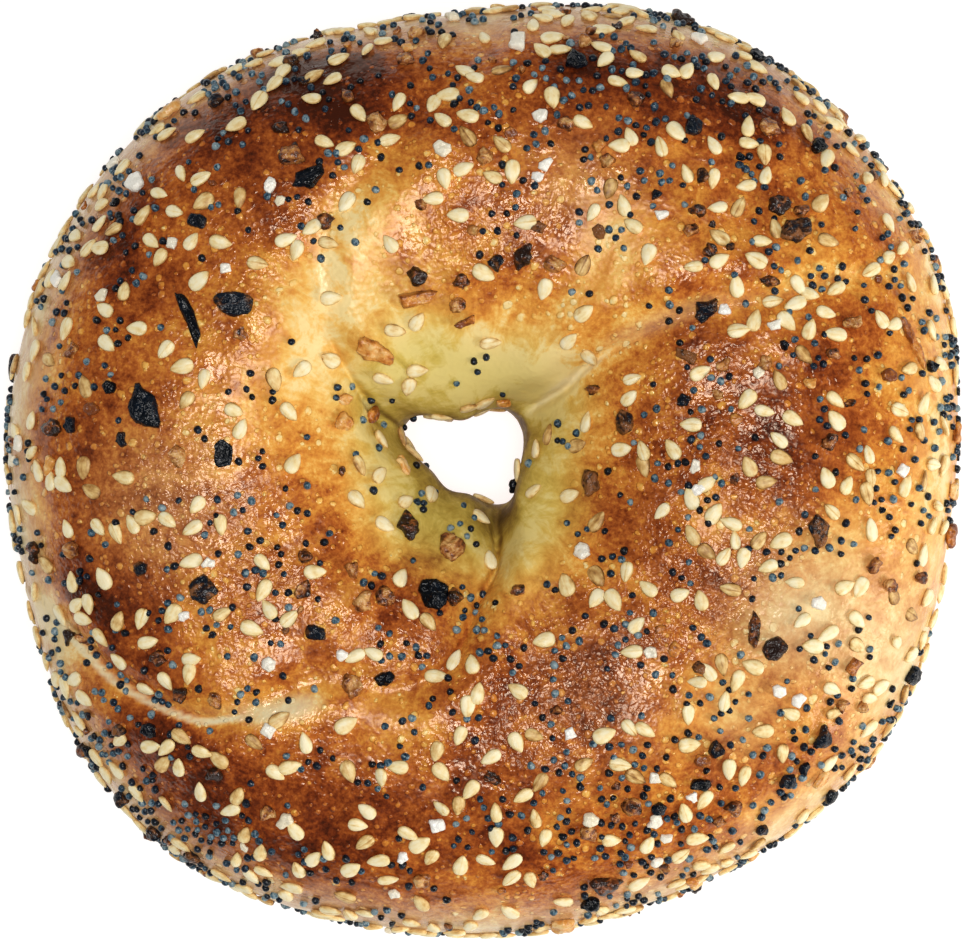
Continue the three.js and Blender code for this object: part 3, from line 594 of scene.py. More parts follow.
def mottle(tree, vector, size_mm, detail=2.0, roughness=0.55, distortion=0.0):
    """A pattern from 0 to 1 whose patches are size_mm across."""
    return add(tree, "ShaderNodeTexNoise", {
        "Vector": vector, "Scale": 1 / (size_mm * MM), "Detail": detail, "Roughness": roughness,
        "Distortion": distortion})


def raised(tree, value, layers):
    """A value with layers added to it, each given as (layer, amount)."""
    for layer, amount in layers:
        value = add(tree, "ShaderNodeMath", {0: layer, 1: amount, 2: value}, operation="MULTIPLY_ADD")
    return value


def scaled(tree, value, *factors):
    """A value times each of some factors."""
    for factor in factors:
        value = add(tree, "ShaderNodeMath", {0: value, 1: factor}, operation="MULTIPLY")
    return value


def eased(tree, value, low, high, to_low=0.0, to_high=1.0):
    """Runs smoothly from to_low to to_high while a value goes from low to high."""
    return add(tree, "ShaderNodeMapRange", {
        "Value": value, "From Min": low, "From Max": high, "To Min": to_low, "To Max": to_high},
        interpolation_type="SMOOTHSTEP")


def swayed(tree, value, *patterns):
    """A value moved up and down by patterns that run from 0 to 1, each given as (pattern, amount)."""
    for pattern, amount in patterns:
        centred = add(tree, "ShaderNodeMath", {0: pattern, 1: 0.5}, operation="SUBTRACT")
        value = raised(tree, value, [(centred, amount)])
    return value


def own_pattern(tree):
    """A topping's own tone, the place in it, and a shift that gives each one a pattern of its own."""
    tone = add(tree, "ShaderNodeAttribute", attribute_name="tone").outputs["Fac"]
    local = add(tree, "ShaderNodeAttribute", attribute_name="local").outputs["Vector"]
    shift = add(tree, "ShaderNodeVectorMath", {0: (7.0, 3.0, 5.0), "Scale": tone}, operation="SCALE")
    return tone, local, shift


def spots(tree, place, size_mm, share, largest):
    """Round spots, one to a cell at most: the share of cells that hold one, and the largest reach in cells.
    Gives the spots' mask and the height of a dome on each."""
    cell = add(tree, "ShaderNodeTexVoronoi", {
        "Vector": place, "Scale": 1 / (size_mm * MM), "Randomness": 1.0})
    chosen = add(tree, "ShaderNodeSeparateColor", {"Color": cell.outputs["Color"]})
    reach = eased(tree, chosen, 1 - share, 1.0, 0.0, largest)
    away = cell.outputs["Distance"]
    within = add(tree, "ShaderNodeMath", {0: reach, 1: away}, operation="SUBTRACT")
    height = add(tree, "ShaderNodeMath", {
        0: scaled(tree, reach, reach), 1: scaled(tree, away, away)}, operation="SUBTRACT")
    above = add(tree, "ShaderNodeMath", {0: height, 1: 0.0}, operation="MAXIMUM")
    dome = add(tree, "ShaderNodeMath", {0: above}, operation="SQRT")
    return eased(tree, within, -0.02, 0.14), dome


def baked_crust():
    """Boiled and baked bagel skin: starch set to a gloss, mottled from cream to dark red-brown, with small
    blisters that stay golden and a crumpled grain that breaks the gloss into glints."""
    material, tree = new_material("Boiled_and_baked_bagel_crust")
    place = add(tree, "ShaderNodeTexCoord").outputs["Object"]
    bake, wrinkle, olive, side, bared, seam = (
        add(tree, "ShaderNodeAttribute", attribute_name=name).outputs["Fac"]
        for name in ("bake", "wrinkle", "olive", "side", "bared", "seam"))
    grain = add(tree, "ShaderNodeAttribute", attribute_name="grain").outputs["Vector"]
    streaked = add(tree, "ShaderNodeVectorMath", {0: grain, 1: (1.0, 1.0, 0.3)}, operation="MULTIPLY")

    # Mottling from patches to speckles, with blisters and pinpricks on it. The hole's soft dough has little.
    calm = eased(tree, olive, 0.0, 0.8, 1.0, 0.25)
    browned_and_shaded = swayed(
        tree, bake,
        (mottle(tree, grain, 9, 3, 0.6, 0.8), 0.7),
        (mottle(tree, streaked, 2.6, 3, 0.6, 0.5), scaled(tree, calm, 0.45)),
        (mottle(tree, place, 3.2, 4, 0.72, 0.6), 0.75),
        (mottle(tree, place, 0.6, 2, 0.65), scaled(tree, eased(tree, bake, 0.1, 0.45, 0.2, 0.6), calm)))
    on_brown = scaled(tree, eased(tree, bake, 0.05, 0.45), calm)
    wander = mottle(tree, place, 1.3, 1, 0.5).outputs["Color"]
    crooked = add(tree, "ShaderNodeVectorMath", {0: wander, 1: (0.6 * MM,) * 3, 2: place},
                  operation="MULTIPLY_ADD")
    (blister, blister_dome), (pinprick, pinprick_dome) = (
        [scaled(tree, part, on_brown) for part in spots(tree, crooked, *habit)]
        for habit in ((1.7, 0.85, 0.36), (0.95, 0.6, 0.38)))
    # The seams darken the crust with painted shade in the creases; bared folds make it paler.
    browned_and_shaded = raised(tree, browned_and_shaded, ((blister, -0.29), (pinprick, -0.25), (bared, -0.6), (seam, 0.5)))

    golden = toned(tree, browned_and_shaded, (
        (0.0, "#fce09c"), (0.13, "#f8c466"), (0.28, "#e89f42"), (0.43, "#d38333"), (0.57, "#b66126"),
        (0.7, "#96471a"), (0.83, "#722e11"), (1.0, "#421809")))
    soft_dough = toned(tree, browned_and_shaded, (
        (0.0, "#e6d282"), (0.14, "#d6bd5e"), (0.3, "#bfa349"), (0.55, "#86692f"), (1.0, "#38281a")))
    tan = toned(tree, browned_and_shaded, ((0.0, "#eed8a8"), (0.35, "#cda275"), (0.65, "#a06f47"), (1.0, "#523020")))
    colour = golden
    for share, other in (
            (olive, soft_dough), (side, tan), (eased(tree, bared, 0.3, 1.0, 0.0, 0.75), linear("#efe2bc"))):
        mixed = add(tree, "ShaderNodeMix", {0: share, 6: colour, 7: other}, data_type="RGBA")
        colour = mixed.outputs[2]

    # The skin's relief: crumpled folds with a fine grain on them, strongest where the skin is drawn up, gone
    # in some patches and faint inside the hole.
    taut = add(tree, "ShaderNodeMath", {
        0: eased(tree, bake, 0.25, 0.55, 0.1, 1.0), 1: eased(tree, side, 0.15, 0.5, 0.0, 0.6)},
        operation="MAXIMUM")
    drawn = raised(tree, eased(tree, mottle(tree, place, 7, 1), 0.38, 0.62, 0.12, 0.55), [(wrinkle, 0.5)])
    drawn = scaled(
        tree, drawn, eased(tree, olive, 0.1, 0.9, 1.0, 0.2), taut, eased(tree, blister, 0.1, 0.8, 1.0, 0.25))
    fold = swayed(tree, 0.0, (mottle(tree, place, 1.4, 1, 0.45, 0.8), 1.0))
    fold = add(tree, "ShaderNodeMath", {0: raised(tree, 0.008, [(fold, fold)])}, operation="SQRT")
    skin = raised(tree, scaled(tree, fold, 1.15), (
        (mottle(tree, place, 0.5, 0, 0.5, 0.6), 0.32), (mottle(tree, grain, 1.0, 1, 0.5, 0.8), 0.5)))
    skin = raised(tree, scaled(tree, skin, drawn), (
        (mottle(tree, place, 0.6, 0), 0.14),
        (mottle(tree, place, 3.4, 1, 0.5), eased(tree, bake, 0.2, 0.5, 0.45, 0.8)),
        (blister_dome, 1.9), (pinprick_dome, 1.1)))
    bump = add(tree, "ShaderNodeBump", {"Strength": 1.0, "Distance": 0.42 * MM, "Height": skin})
    rough = raised(tree, eased(tree, mottle(tree, place, 4, 3), 0.3, 0.7, 0.12, 0.28), (
        (eased(tree, bake, 0.25, 0.5, 0.12, 0.0), 1.0), (olive, 0.35)))
    shader = add(tree, "ShaderNodeBsdfPrincipled", {
        "Base Color": colour, "Roughness": rough, "IOR": 1.52,
        "Specular IOR Level": eased(tree, olive, 0.1, 0.8, 0.36, 0.1),
        "Specular Tint": linear("#ffe9d0"), "Normal": bump})
    add(tree, "ShaderNodeOutputMaterial", {"Surface": shader})
    return material


def sesame_coat():
    """Hulled sesame: a matt cream skin with lengthwise fibres, darker along a faint rib, with painted shade
    at its lower rim.
    """
    material, tree = new_material("Hulled_sesame_seed")
    tone, local, shift = own_pattern(tree)
    own = add(tree, "ShaderNodeVectorMath", {0: local, 1: shift}, operation="ADD")
    along = add(tree, "ShaderNodeVectorMath", {0: own, 1: (0.35, 1.0, 1.0)}, operation="MULTIPLY")
    fibres = mottle(tree, along, 0.5, 2, 0.6)
    parts = add(tree, "ShaderNodeSeparateXYZ", {0: local})
    off_rib = add(tree, "ShaderNodeMath", {0: parts.outputs["Y"]}, operation="ABSOLUTE")
    has_rib = eased(tree, mottle(tree, shift, 0.9), 0.54, 0.62, 0.0, 0.8)
    rib = scaled(tree, eased(tree, off_rib, 0.0, 0.16 * MM, 1.0, 0.0), has_rib)
    # Painted shade: the seed darkens towards its underside, where it meets the crust.
    low = eased(tree, parts.outputs["Z"], 0.0, 0.36 * MM, 1.0, 0.0)
    shade = swayed(tree, tone, (mottle(tree, own, 1.0), 0.8), (fibres, 0.8))
    shade = raised(tree, shade, ((rib, 0.3), (low, 0.32)))
    colour = toned(tree, shade, (
        (0.0, "#fff3ca"), (0.25, "#f8e1a4"), (0.5, "#e2ba74"), (0.72, "#b58444"), (1.0, "#6c4622")))
    height = raised(tree, fibres, [(rib, 0.5)])
    bump = add(tree, "ShaderNodeBump", {"Strength": 1.0, "Distance": 0.05 * MM, "Height": height})
    shader = add(tree, "ShaderNodeBsdfPrincipled", {
        "Base Color": colour, "Roughness": 0.48, "IOR": 1.45, "Normal": bump})
    add(tree, "ShaderNodeOutputMaterial", {"Surface": shader})
    return material


def rough_coat(name, stops, mottling, size_mm, roughness, bump_mm, edge=0.0, fibres=0.0, gloss=0.5):
    """A dry topping's skin: a tone of its own, patches of colour, fibres that run lengthwise, and a grain."""
    material, tree = new_material(name)
    place = add(tree, "ShaderNodeTexCoord").outputs["Object"]
    rim = add(tree, "ShaderNodeAttribute", attribute_name="rim").outputs["Fac"]
    tone, local, shift = own_pattern(tree)
    along = add(tree, "ShaderNodeVectorMath", {0: local, 1: (0.2, 1.0, 1.0)}, operation="MULTIPLY")
    along = add(tree, "ShaderNodeVectorMath", {0: along, 1: shift}, operation="ADD")
    strand = mottle(tree, along, 0.7, 1, 0.5, 0.4)
    grit = mottle(tree, place, 0.42, 1, 0.5, 0.5)
    shade = swayed(
        tree, tone, (mottle(tree, place, size_mm, 2, 0.6, 0.5), mottling), (grit, 0.3 * mottling),
        (strand, fibres * mottling))
    colour = toned(tree, raised(tree, shade, [(rim, edge)]), stops)
    height = raised(tree, grit, ((mottle(tree, place, 1.2, 1), 1.0), (strand, 2 * fibres)))
    bump = add(tree, "ShaderNodeBump", {"Strength": 1.0, "Distance": bump_mm * MM, "Height": height})
    shader = add(tree, "ShaderNodeBsdfPrincipled", {
        "Base Color": colour, "Roughness": roughness, "IOR": 1.5, "Specular IOR Level": gloss,
        "Normal": bump})
    add(tree, "ShaderNodeOutputMaterial", {"Surface": shader})
    return material


# ---------- The crust ----------
def turn_of_row(row):
    upper = math.pi * row / UPPER_ROWS
    lower = math.pi * (1 + (row - UPPER_ROWS) / LOWER_ROWS)
    return np.where(row <= UPPER_ROWS, upper, lower)


def bake_and_shade_at(points, normals):
    """How brown the crust is, with painted shade down the hole, at each point before the material's own
    mottling.
    """
    x, y = points[..., 0], points[..., 1]
    from_hole = np.hypot(x - HOLE_CENTRE[0], y - HOLE_CENTRE[1])
    top = mix(BAKE_IN_HOLE, BAKE_ON_TOP, smooth_step(10, 23, from_hole))
    side = mix(BAKE_IN_HOLE, BAKE_AT_EDGE, smooth_step(9, 24, from_hole))
    up = normals[..., 2]
    bake = mix(side, top, smooth_step(0.3, 0.85, up))
    bake = mix(bake, BAKE_UNDERNEATH, smooth_step(-0.55, -0.95, up))
    # Painted shade on the walls that turn down into the hole.
    bake = bake + PAINTED_SHADE_DOWN_THE_HOLE * smooth_step(13, 8, from_hole) * smooth_step(0.6, -0.1, up)
    return bake + blobs(BROWNING, x, y) * smooth_step(0.1, 0.75, up)


def lines_at(lines, x, y):
    """The strongest of some soft lines (width, points (x, y, amount)) at places on the plan."""
    strongest = np.zeros_like(x)
    for width, points in lines:
        distance, amount = nearest_on(catmull_rom(points, CREASE_STEPS), x, y)
        strongest = np.maximum(strongest, amount * np.exp(-((distance / width) ** 2)))
    return strongest


def make_crust():
    azimuth = np.arange(AROUND) / AROUND * FULL_TURN
    turn = turn_of_row(np.arange(SECTION_ROWS))
    azimuth, turn = np.meshgrid(azimuth, turn, indexing="ij")
    points = crust_points(azimuth, turn)
    normals = span_of(azimuth, turn)[0]
    x, y, z = points[..., 0], points[..., 1], points[..., 2]
    from_hole = np.hypot(x - HOLE_CENTRE[0], y - HOLE_CENTRE[1])
    up = normals[..., 2]
    strand_radius = 0.5 * (HOLE_RADIUS + OUTER_RADIUS)
    half_section = 0.5 * (OUTER_RADIUS - HOLE_RADIUS)
    grain = np.stack([
        strand_radius * np.cos(azimuth), strand_radius * np.sin(azimuth),
        half_section * np.mod(turn + math.pi / 2, FULL_TURN)], axis=-1) * MM
    column, row = np.meshgrid(np.arange(AROUND), np.arange(SECTION_ROWS), indexing="ij")
    next_column, next_row = (column + 1) % AROUND, (row + 1) % SECTION_ROWS
    faces = np.stack([
        column * SECTION_ROWS + row, next_column * SECTION_ROWS + row,
        next_column * SECTION_ROWS + next_row, column * SECTION_ROWS + next_row], axis=-1).reshape(-1, 4)
    flank = smooth_step(0.85, 0.35, up) * smooth_step(-0.6, 0.2, up) * smooth_step(1.2, 0.2, normals[..., 0])
    side = 0.85 * flank * smooth_step(14, 26, from_hole)
    side = side + blobs(TAN_PATCHES, x, y) * smooth_step(0.0, 0.3, up)
    olive = smooth_step(20.5, 9.5, from_hole) + blobs(OLIVE_PATCHES, x, y)
    crust = mesh_object(
        "crust", points.reshape(-1, 3), faces.tolist(), baked_crust(),
        bake=bake_and_shade_at(points, normals).ravel(),
        wrinkle=(np.clip(blobs(WRINKLES, x, y), 0, 1) * smooth_step(0.2, 0.6, up)).ravel(),
        side=np.clip(side, 0, 1).ravel(),
        olive=(np.clip(olive, 0, 1) * smooth_step(-0.6, 0.0, up)).ravel(),
        bared=(lines_at(BARE_FOLDS, x, y) * smooth_step(0.0, 0.3, up)).ravel(),
        seam=(lines_at(SEAM_SHADOWS, x, y) * smooth_step(0.0, 0.3, up)).ravel(),
        crown=smooth_step(*CROWN_FOOT, z).ravel(),
        grain=grain.reshape(-1, 3))
    grown(crust, relief_tree("Crust_relief", "Lump", "Ripple", (2.0, 3.0), "crown"),
          Lump_size=LUMP[0] * MM, Lump_height=LUMP[1] * MM,
          Ripple_size=RIPPLE[0] * MM, Ripple_height=RIPPLE[1] * MM)
    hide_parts("bagel")
    return finished(crust)


# ---------- Seating toppings on the crust ----------
def surface_tree(obj):
    mesh = obj.data
    points = [v.co for v in mesh.vertices]
    return BVHTree.FromPolygons(points, [tuple(p.vertices) for p in mesh.polygons])


def seat_on(surface, azimuth, turn, spin, tilt=(0, 0)):
    """A frame on the crust: its place in metres, and a matrix, Z along the normal and X turned by spin."""
    point = Vector(crust_points(azimuth, turn)) * MM
    outward = Vector(span_of(azimuth, turn)[0])
    found, normal, _, _ = surface.ray_cast(point + outward * 4 * MM, -outward)
    if found is None:
        found, normal = point, outward
    normal = (normal + outward).normalized()
    lengthwise = Vector((math.cos(spin), math.sin(spin), 0))
    lengthwise -= normal * lengthwise.dot(normal)
    if lengthwise.length < 0.1:
        lengthwise = Vector((0, 0, 1)) - normal * normal.z
    lengthwise.normalize()
    crosswise = normal.cross(lengthwise)
    basis = Matrix((lengthwise, crosswise, normal)).transposed()
    lean = Matrix.Rotation(tilt[0], 3, "X") @ Matrix.Rotation(tilt[1], 3, "Y")
    return found, basis @ lean


def topping_share(points, normals):
    """The share of seeds that stick at a place on the crust, from 0 to 1."""
    x, y, z = points[..., 0], points[..., 1], points[..., 2]
    from_hole = np.hypot(x - HOLE_CENTRE[0], y - HOLE_CENTRE[1])
    share = STICK_SHARE * mix(SPARSE_SHARE, 1, smooth_step(SPARSE_RADIUS, DENSE_RADIUS, from_hole))
    for px, py, reach, gain in TOPPING_ZONES:
        share = share * (1 + gain * np.exp(-((x - px) ** 2 + (y - py) ** 2) / reach ** 2))
    share = share * mix(UNDERSIDE_SHARE, 1, smooth_step(-0.5, 0.1, normals[..., 2]))
    return np.where(z < BASE_CLEARANCE, 0, share)


def too_near(points, point, clearances):
    """Whether a point lies nearer to any of some points than the clearance allows."""
    return bool(np.any(np.linalg.norm(points - point, axis=1) < clearances))


def scatter(count, spacing, seed, share, taken=((), ())):
    """Throws darts at the crust until enough of them stick, each clear of those before it and of what lies
    there: taken is the middles of such things, and how near to each a new one may lie."""
    numbers = seeded_numbers(seed)
    others, clearances = np.reshape(taken[0], (-1, 3)), np.array(taken[1])
    places = []
    kept = np.empty((0, 3))
    while len(places) < count:
        darts = np.array([next(numbers) for _ in range(5 * DARTS_AT_ONCE)]).reshape(-1, 5)
        azimuth, turn = darts[:, 0] * FULL_TURN, darts[:, 1] * FULL_TURN
        normals, area = span_of(azimuth, turn)
        points = smooth_ring(azimuth, turn)
        sticks = darts[:, 2] <= share(points, normals) * area / LARGEST_AREA
        for k in np.flatnonzero(sticks):
            if too_near(kept, points[k], spacing) or too_near(others, points[k], clearances):
                continue
            kept = np.vstack([kept, points[k]])
            places.append((azimuth[k], turn[k], darts[k, 3] * FULL_TURN, darts[k, 4]))
            if len(places) == count:
                break
    return places, kept


def taken_by(rows):
    """The middles of flakes (azimuth, turn, length, width, spin), and how near another topping may lie."""
    middles = [smooth_ring(azimuth, turn) for azimuth, turn, _, _, _ in rows]
    clearances = [0.25 * (length + width) + FLAKE_CLEARANCE for _, _, length, width, _ in rows]
    return middles, clearances


# ---------- Sesame and poppy ----------
def seed_form(name, tip, tail, thickness, dish):
    """A sesame seed with its point towards +X. Its ends are blunter with a smaller tip and tail."""
    stations, sides = 9, 10

    def half_width(t):
        return (1 - t) ** tip * (1 + t) ** tail

    along = -np.cos(np.linspace(0, math.pi, stations + 2)[1:-1])
    width = half_width(along) / half_width(np.linspace(-1, 1, 200)).max()
    points = [(-0.5 * SEED_LENGTH, 0, 0)]
    for t, w in zip(along, width):
        for k in range(sides):
            angle = k / sides * FULL_TURN
            bulge = 1 - dish * math.sin(angle) ** 2 * w
            points.append((
                0.5 * SEED_LENGTH * t, 0.5 * SEED_WIDTH * w * math.cos(angle),
                0.5 * thickness * w ** 0.7 * math.sin(angle) * bulge))
    points.append((0.5 * SEED_LENGTH, 0, 0))
    faces = []
    last = len(points) - 1
    for k in range(sides):
        after = (k + 1) % sides
        faces.append((0, 1 + after, 1 + k))
        for s in range(stations - 1):
            low, high = 1 + s * sides, 1 + (s + 1) * sides
            faces.append((low + k, low + after, high + after, high + k))
        faces.append((last, last - sides + k, last - sides + after))
    return mesh_object(name, points, faces, local=np.array(points) * MM)


def poppy_form(name):
    """A poppy seed: a small ball with one side drawn in, like a kidney."""
    bpy.ops.mesh.primitive_ico_sphere_add(subdivisions=2, radius=1)
    ball = bpy.context.object
    ball.name = name
    points = np.empty(len(ball.data.vertices) * 3, np.float32)
    ball.data.vertices.foreach_get("co", points)
    points = points.reshape(-1, 3) * (1, 0.84, 0.86)
    points[:, 1] += 0.09 * np.cos(points[:, 0] * math.pi)
    ball.data.vertices.foreach_set("co", (points * 0.5 * POPPY_SIZE * MM).ravel())
    ball.data.update()
    return ball


def forms_collection(name, forms):
    collection = bpy.data.collections.new(name)
    for form in forms:
        for other in form.users_collection:
            other.objects.unlink(form)
        collection.objects.link(form)
    return collection


def scattered_piece(name, seats, forms, material, wobble_mm):
    """One piece of many small toppings. A seat is (place, turn, stretch, form, tone)."""
    points = np.array([seat[0] for seat in seats]) / MM
    carrier = mesh_object(name, points, [], tone=[seat[4] for seat in seats],
                          stretch=np.array([seat[2] for seat in seats]))
    turns = carrier.data.attributes.new("turn", "QUATERNION", "POINT")
    turns.data.foreach_set("value", np.array([seat[1] for seat in seats], np.float32).ravel())
    picks = carrier.data.attributes.new("form", "INT", "POINT")
    picks.data.foreach_set("value", [seat[3] for seat in seats])
    collection = forms_collection(name + "_forms", forms)
    grown(carrier, scatter_tree(), Forms=collection, Wobble_size=wobble_mm[0] * MM,
          Wobble_height=wobble_mm[1] * MM, Finish=material)
    for form in forms:
        bpy.data.objects.remove(form)
    bpy.data.collections.remove(collection)
    return finished(carrier)


def make_sesame(surface, solid_flakes, small_flakes):
    """Hulled white sesame: matt cream, some toasted, and some sunk in the skin and glazed over."""
    places, points = scatter(
        SEED_COUNT, SEED_SPACING, seed=2024, share=topping_share, taken=taken_by(solid_flakes))
    flakes = [np.array(measures) for measures in taken_by(small_flakes)]
    bare = lines_at(BARE_FOLDS[:1], points[:, 0], points[:, 1])
    clear = np.array([
        not too_near(flakes[0], point, flakes[1]) and amount < BARED_LIMIT
        for point, amount in zip(points, bare)])
    places = [place for place, is_clear in zip(places, clear) if is_clear]
    points = points[clear]
    for x, y, degrees in HOLE_SEEDS:
        azimuth, turn = crust_over(x, y)
        point = smooth_ring(azimuth, turn)
        if not too_near(points, point, SEED_SPACING) and not too_near(flakes[0], point, flakes[1]):
            points = np.vstack([points, point])
            places.append((azimuth, turn, math.radians(degrees), 0.5))
    numbers = seeded_numbers(505)
    seats = []
    for azimuth, turn, spin, size in places:
        luck, lean, roll, plump, kind, shade = (next(numbers) for _ in range(6))
        tilt = STEEP_TILT if kind > 1 - STEEP_SEEDS else FLAT_TILT
        found, basis = seat_on(surface, azimuth, turn, spin, (tilt * (2 * lean - 1), tilt * (roll - 0.5)))
        tone = 0.02 + 0.18 * shade + (TOASTED_TONE if luck < TOASTED_SEEDS else 0)
        if luck > 1 - SUNK_SEEDS:
            tone += SUNK_TONE
        else:
            found = found + basis.col[2] * SEED_LIFT * SEED_THICKNESS * MM
        scale = mix(*SEED_SIZE, size)
        stretch = (scale, scale * mix(*SEED_PLUMPNESS, plump), 1.0)
        seats.append((found, basis.to_quaternion(), stretch, int(kind * 3), tone))
    forms = [
        seed_form("sesame_plump", 0.72, 0.42, SEED_THICKNESS, 0.12),
        seed_form("sesame_slim", 0.84, 0.46, 0.9 * SEED_THICKNESS, 0.05),
        seed_form("sesame_dished", 0.76, 0.44, SEED_THICKNESS, 0.3)]
    scattered_piece("sesame_seeds", seats, forms, sesame_coat(), (1.4, 0.05))
    return points


def poppy_share(points, normals):
    zones = blobs(POPPY_ZONES, points[..., 0], points[..., 1])
    return topping_share(points, normals) * (1 + np.maximum(zones, -0.85))


def make_poppy(surface, seed_points, flakes):
    """Poppy seed: slate blue to black, in clumps that gather at the outer side of the ring."""
    clumps, _ = scatter(POPPY_COUNT // POPPIES_IN_CLUMP, CLUMP_SPACING, seed=909, share=poppy_share)
    middles, clearances = taken_by(flakes)
    others = np.vstack([seed_points, middles])
    clearances = np.append([POPPY_FROM_SEED] * len(seed_points), np.array(clearances) - POPPY_NEARER_FLAKE)
    numbers = seeded_numbers(606)
    kept = np.empty((0, 3))
    seats = []
    while len(seats) < POPPY_COUNT:
        pick, loose, reach, way, size, spin, tone = (next(numbers) for _ in range(7))
        azimuth, turn, _, _ = clumps[int(pick * len(clumps))]
        spread = (LOOSE_SPREAD if loose < LOOSE_POPPY else 1) * POPPY_CLUMP * math.sqrt(reach)
        local_radius = max(float(np.hypot(*smooth_ring(azimuth, turn)[:2])), 8)
        azimuth += spread * math.cos(way * FULL_TURN) / local_radius
        turn += spread * math.sin(way * FULL_TURN) / SECTION_RADIUS
        point = smooth_ring(azimuth, turn)
        if point[2] < BASE_CLEARANCE or too_near(kept, point, POPPY_SPACING) or too_near(
                others, point, clearances):
            continue
        kept = np.vstack([kept, point])
        found, basis = seat_on(surface, azimuth, turn, spin * FULL_TURN, (spin * 3, tone * 3))
        lift = Vector(span_of(azimuth, turn)[0]) * POPPY_LIFT * POPPY_SIZE * MM
        scale = mix(*POPPY_EVENNESS, size)
        seats.append((found + lift, basis.to_quaternion(), (scale,) * 3, 0, tone ** 1.15))
    coat = rough_coat("Blue_poppy_seed", (
        (0.0, "#080c12"), (0.4, "#132030"), (0.62, "#284254"), (0.82, "#507080"), (1.0, "#85999e")),
        1.6, 0.55, 0.3, 0.12, gloss=0.35)
    scattered_piece("poppy_seeds", seats, [poppy_form("poppy_grain")], coat, (0.6, 0.05))


# ---------- Onion, garlic and salt ----------
def plate_points(length, width, thickness, corners, ragged, crumple, curl, numbers):
    """A ragged plate lying on XY: its points, and each one's share of the way from its middle to its edge."""
    sides = 28
    angles = np.arange(sides) / sides * FULL_TURN
    draws = np.array([next(numbers) for _ in range(4 * corners + 12)])
    corner_angle = (np.arange(corners) + 0.5 + 0.6 * (draws[:corners] - 0.5)) / corners * FULL_TURN
    corner_reach = (1.3 if corners == 4 else 1.15) - ragged * draws[corners:2 * corners]
    after = np.searchsorted(corner_angle, angles, side="right") % corners
    before = (after - 1) % corners
    gap = np.mod(corner_angle[after] - corner_angle[before], FULL_TURN)
    into = np.mod(angles - corner_angle[before], FULL_TURN)
    r0, r1 = corner_reach[before], corner_reach[after]
    reach = r0 * r1 * np.sin(gap) / (r0 * np.sin(into) + r1 * np.sin(gap - into))
    waves = draws[2 * corners:2 * corners + 12].reshape(4, 3)

    def surface(share, side):
        x = 0.5 * length * share * reach * np.cos(angles)
        y = 0.5 * width * share * reach * np.sin(angles)
        bumps = sum(
            np.cos((2 + 2 * a) * (x * math.cos(7 * b) + y * math.sin(7 * b)) + 9 * c) for a, b, c in waves)
        z = side * 0.5 * thickness * max(1 - share ** 5, 0) ** 0.5
        return np.stack([x, y, z + 0.25 * crumple * bumps + curl * (2 * x / length) ** 2], axis=-1)

    shares = [(0.03, 1), (0.25, 1), (0.45, 1), (0.62, 1), (0.77, 1), (0.89, 1), (0.96, 1), (1.0, 1),
              (0.95, -1), (0.6, -1), (0.03, -1)]
    rings = [surface(share, side) for share, side in shares]
    return np.concatenate(rings), np.repeat([share for share, _ in shares], sides), sides, len(rings)


def plate_faces(sides, rings, offset):
    faces = [tuple(offset + k for k in range(sides))]
    for r in range(rings - 1):
        for k in range(sides):
            after = (k + 1) % sides
            low, high = offset + r * sides, offset + (r + 1) * sides
            faces.append((low + k, high + k, high + after, low + after))
    faces.append(tuple(offset + (rings - 1) * sides + k for k in reversed(range(sides))))
    return faces


def make_flakes(surface, name, rows, look, material, seed):
    """One piece of flat toppings. A row is (azimuth, turn, length, width, spin), and look is the shape's
    habits: (thickness, corners, raggedness, crumple, curl, how far it stands out of the crust, grit)."""
    thickness, corners, ragged, crumple, curl, rise, grit = look
    numbers = seeded_numbers(seed)
    points, faces, tones, rims, shapes = [], [], [], [], []
    total = 0
    for azimuth, turn, length, width, spin in rows:
        width = FLAKE_FULLNESS * width
        body = min(thickness, FLAKE_STOUTNESS * width)
        extra = int(next(numbers) * 3)
        shape, rim, sides, rings = plate_points(
            length, width, body, 4 if width < BAR_SHARE * length else corners + extra, ragged, crumple,
            curl * (next(numbers) - 0.3), numbers)
        tilt = [amount * (next(numbers) - 0.5) for amount in FLAKE_TILT]
        found, basis = seat_on(surface, azimuth, turn, spin, tilt)
        placed = shape @ np.array(basis).T + np.array(found + basis.col[2] * rise * body * MM) / MM
        points.append(placed)
        shapes.append(shape)
        faces += plate_faces(sides, rings, total)
        total += len(placed)
        tones += [next(numbers)] * len(placed)
        rims.append(rim)
    piece = mesh_object(name, np.concatenate(points), faces, material, tone=tones, rim=np.concatenate(rims),
                        local=np.concatenate(shapes) * MM)
    grown(piece, relief_tree("Crumbly_topping", "Crumb", "Grit", (1.0, 2.0)), Crumb_size=1.5 * MM,
          Crumb_height=grit * MM, Grit_size=0.5 * MM, Grit_height=0.4 * grit * MM)
    return finished(piece)


def rows_over(flakes):
    return [
        (*crust_over(x, y), length, width, math.radians(degrees)) for x, y, length, width, degrees in flakes]


def rows_scattered(count, sizes, slenderness, spacing, seed, share, taken):
    places, _ = scatter(count, spacing, seed, share, taken)
    return [(azimuth, turn, mix(*sizes, size), slenderness * mix(*sizes, size), spin)
            for azimuth, turn, spin, size in places]


def side_share(points, normals):
    return topping_share(points, normals) * (1 - smooth_step(0.2, 0.6, normals[..., 2]))


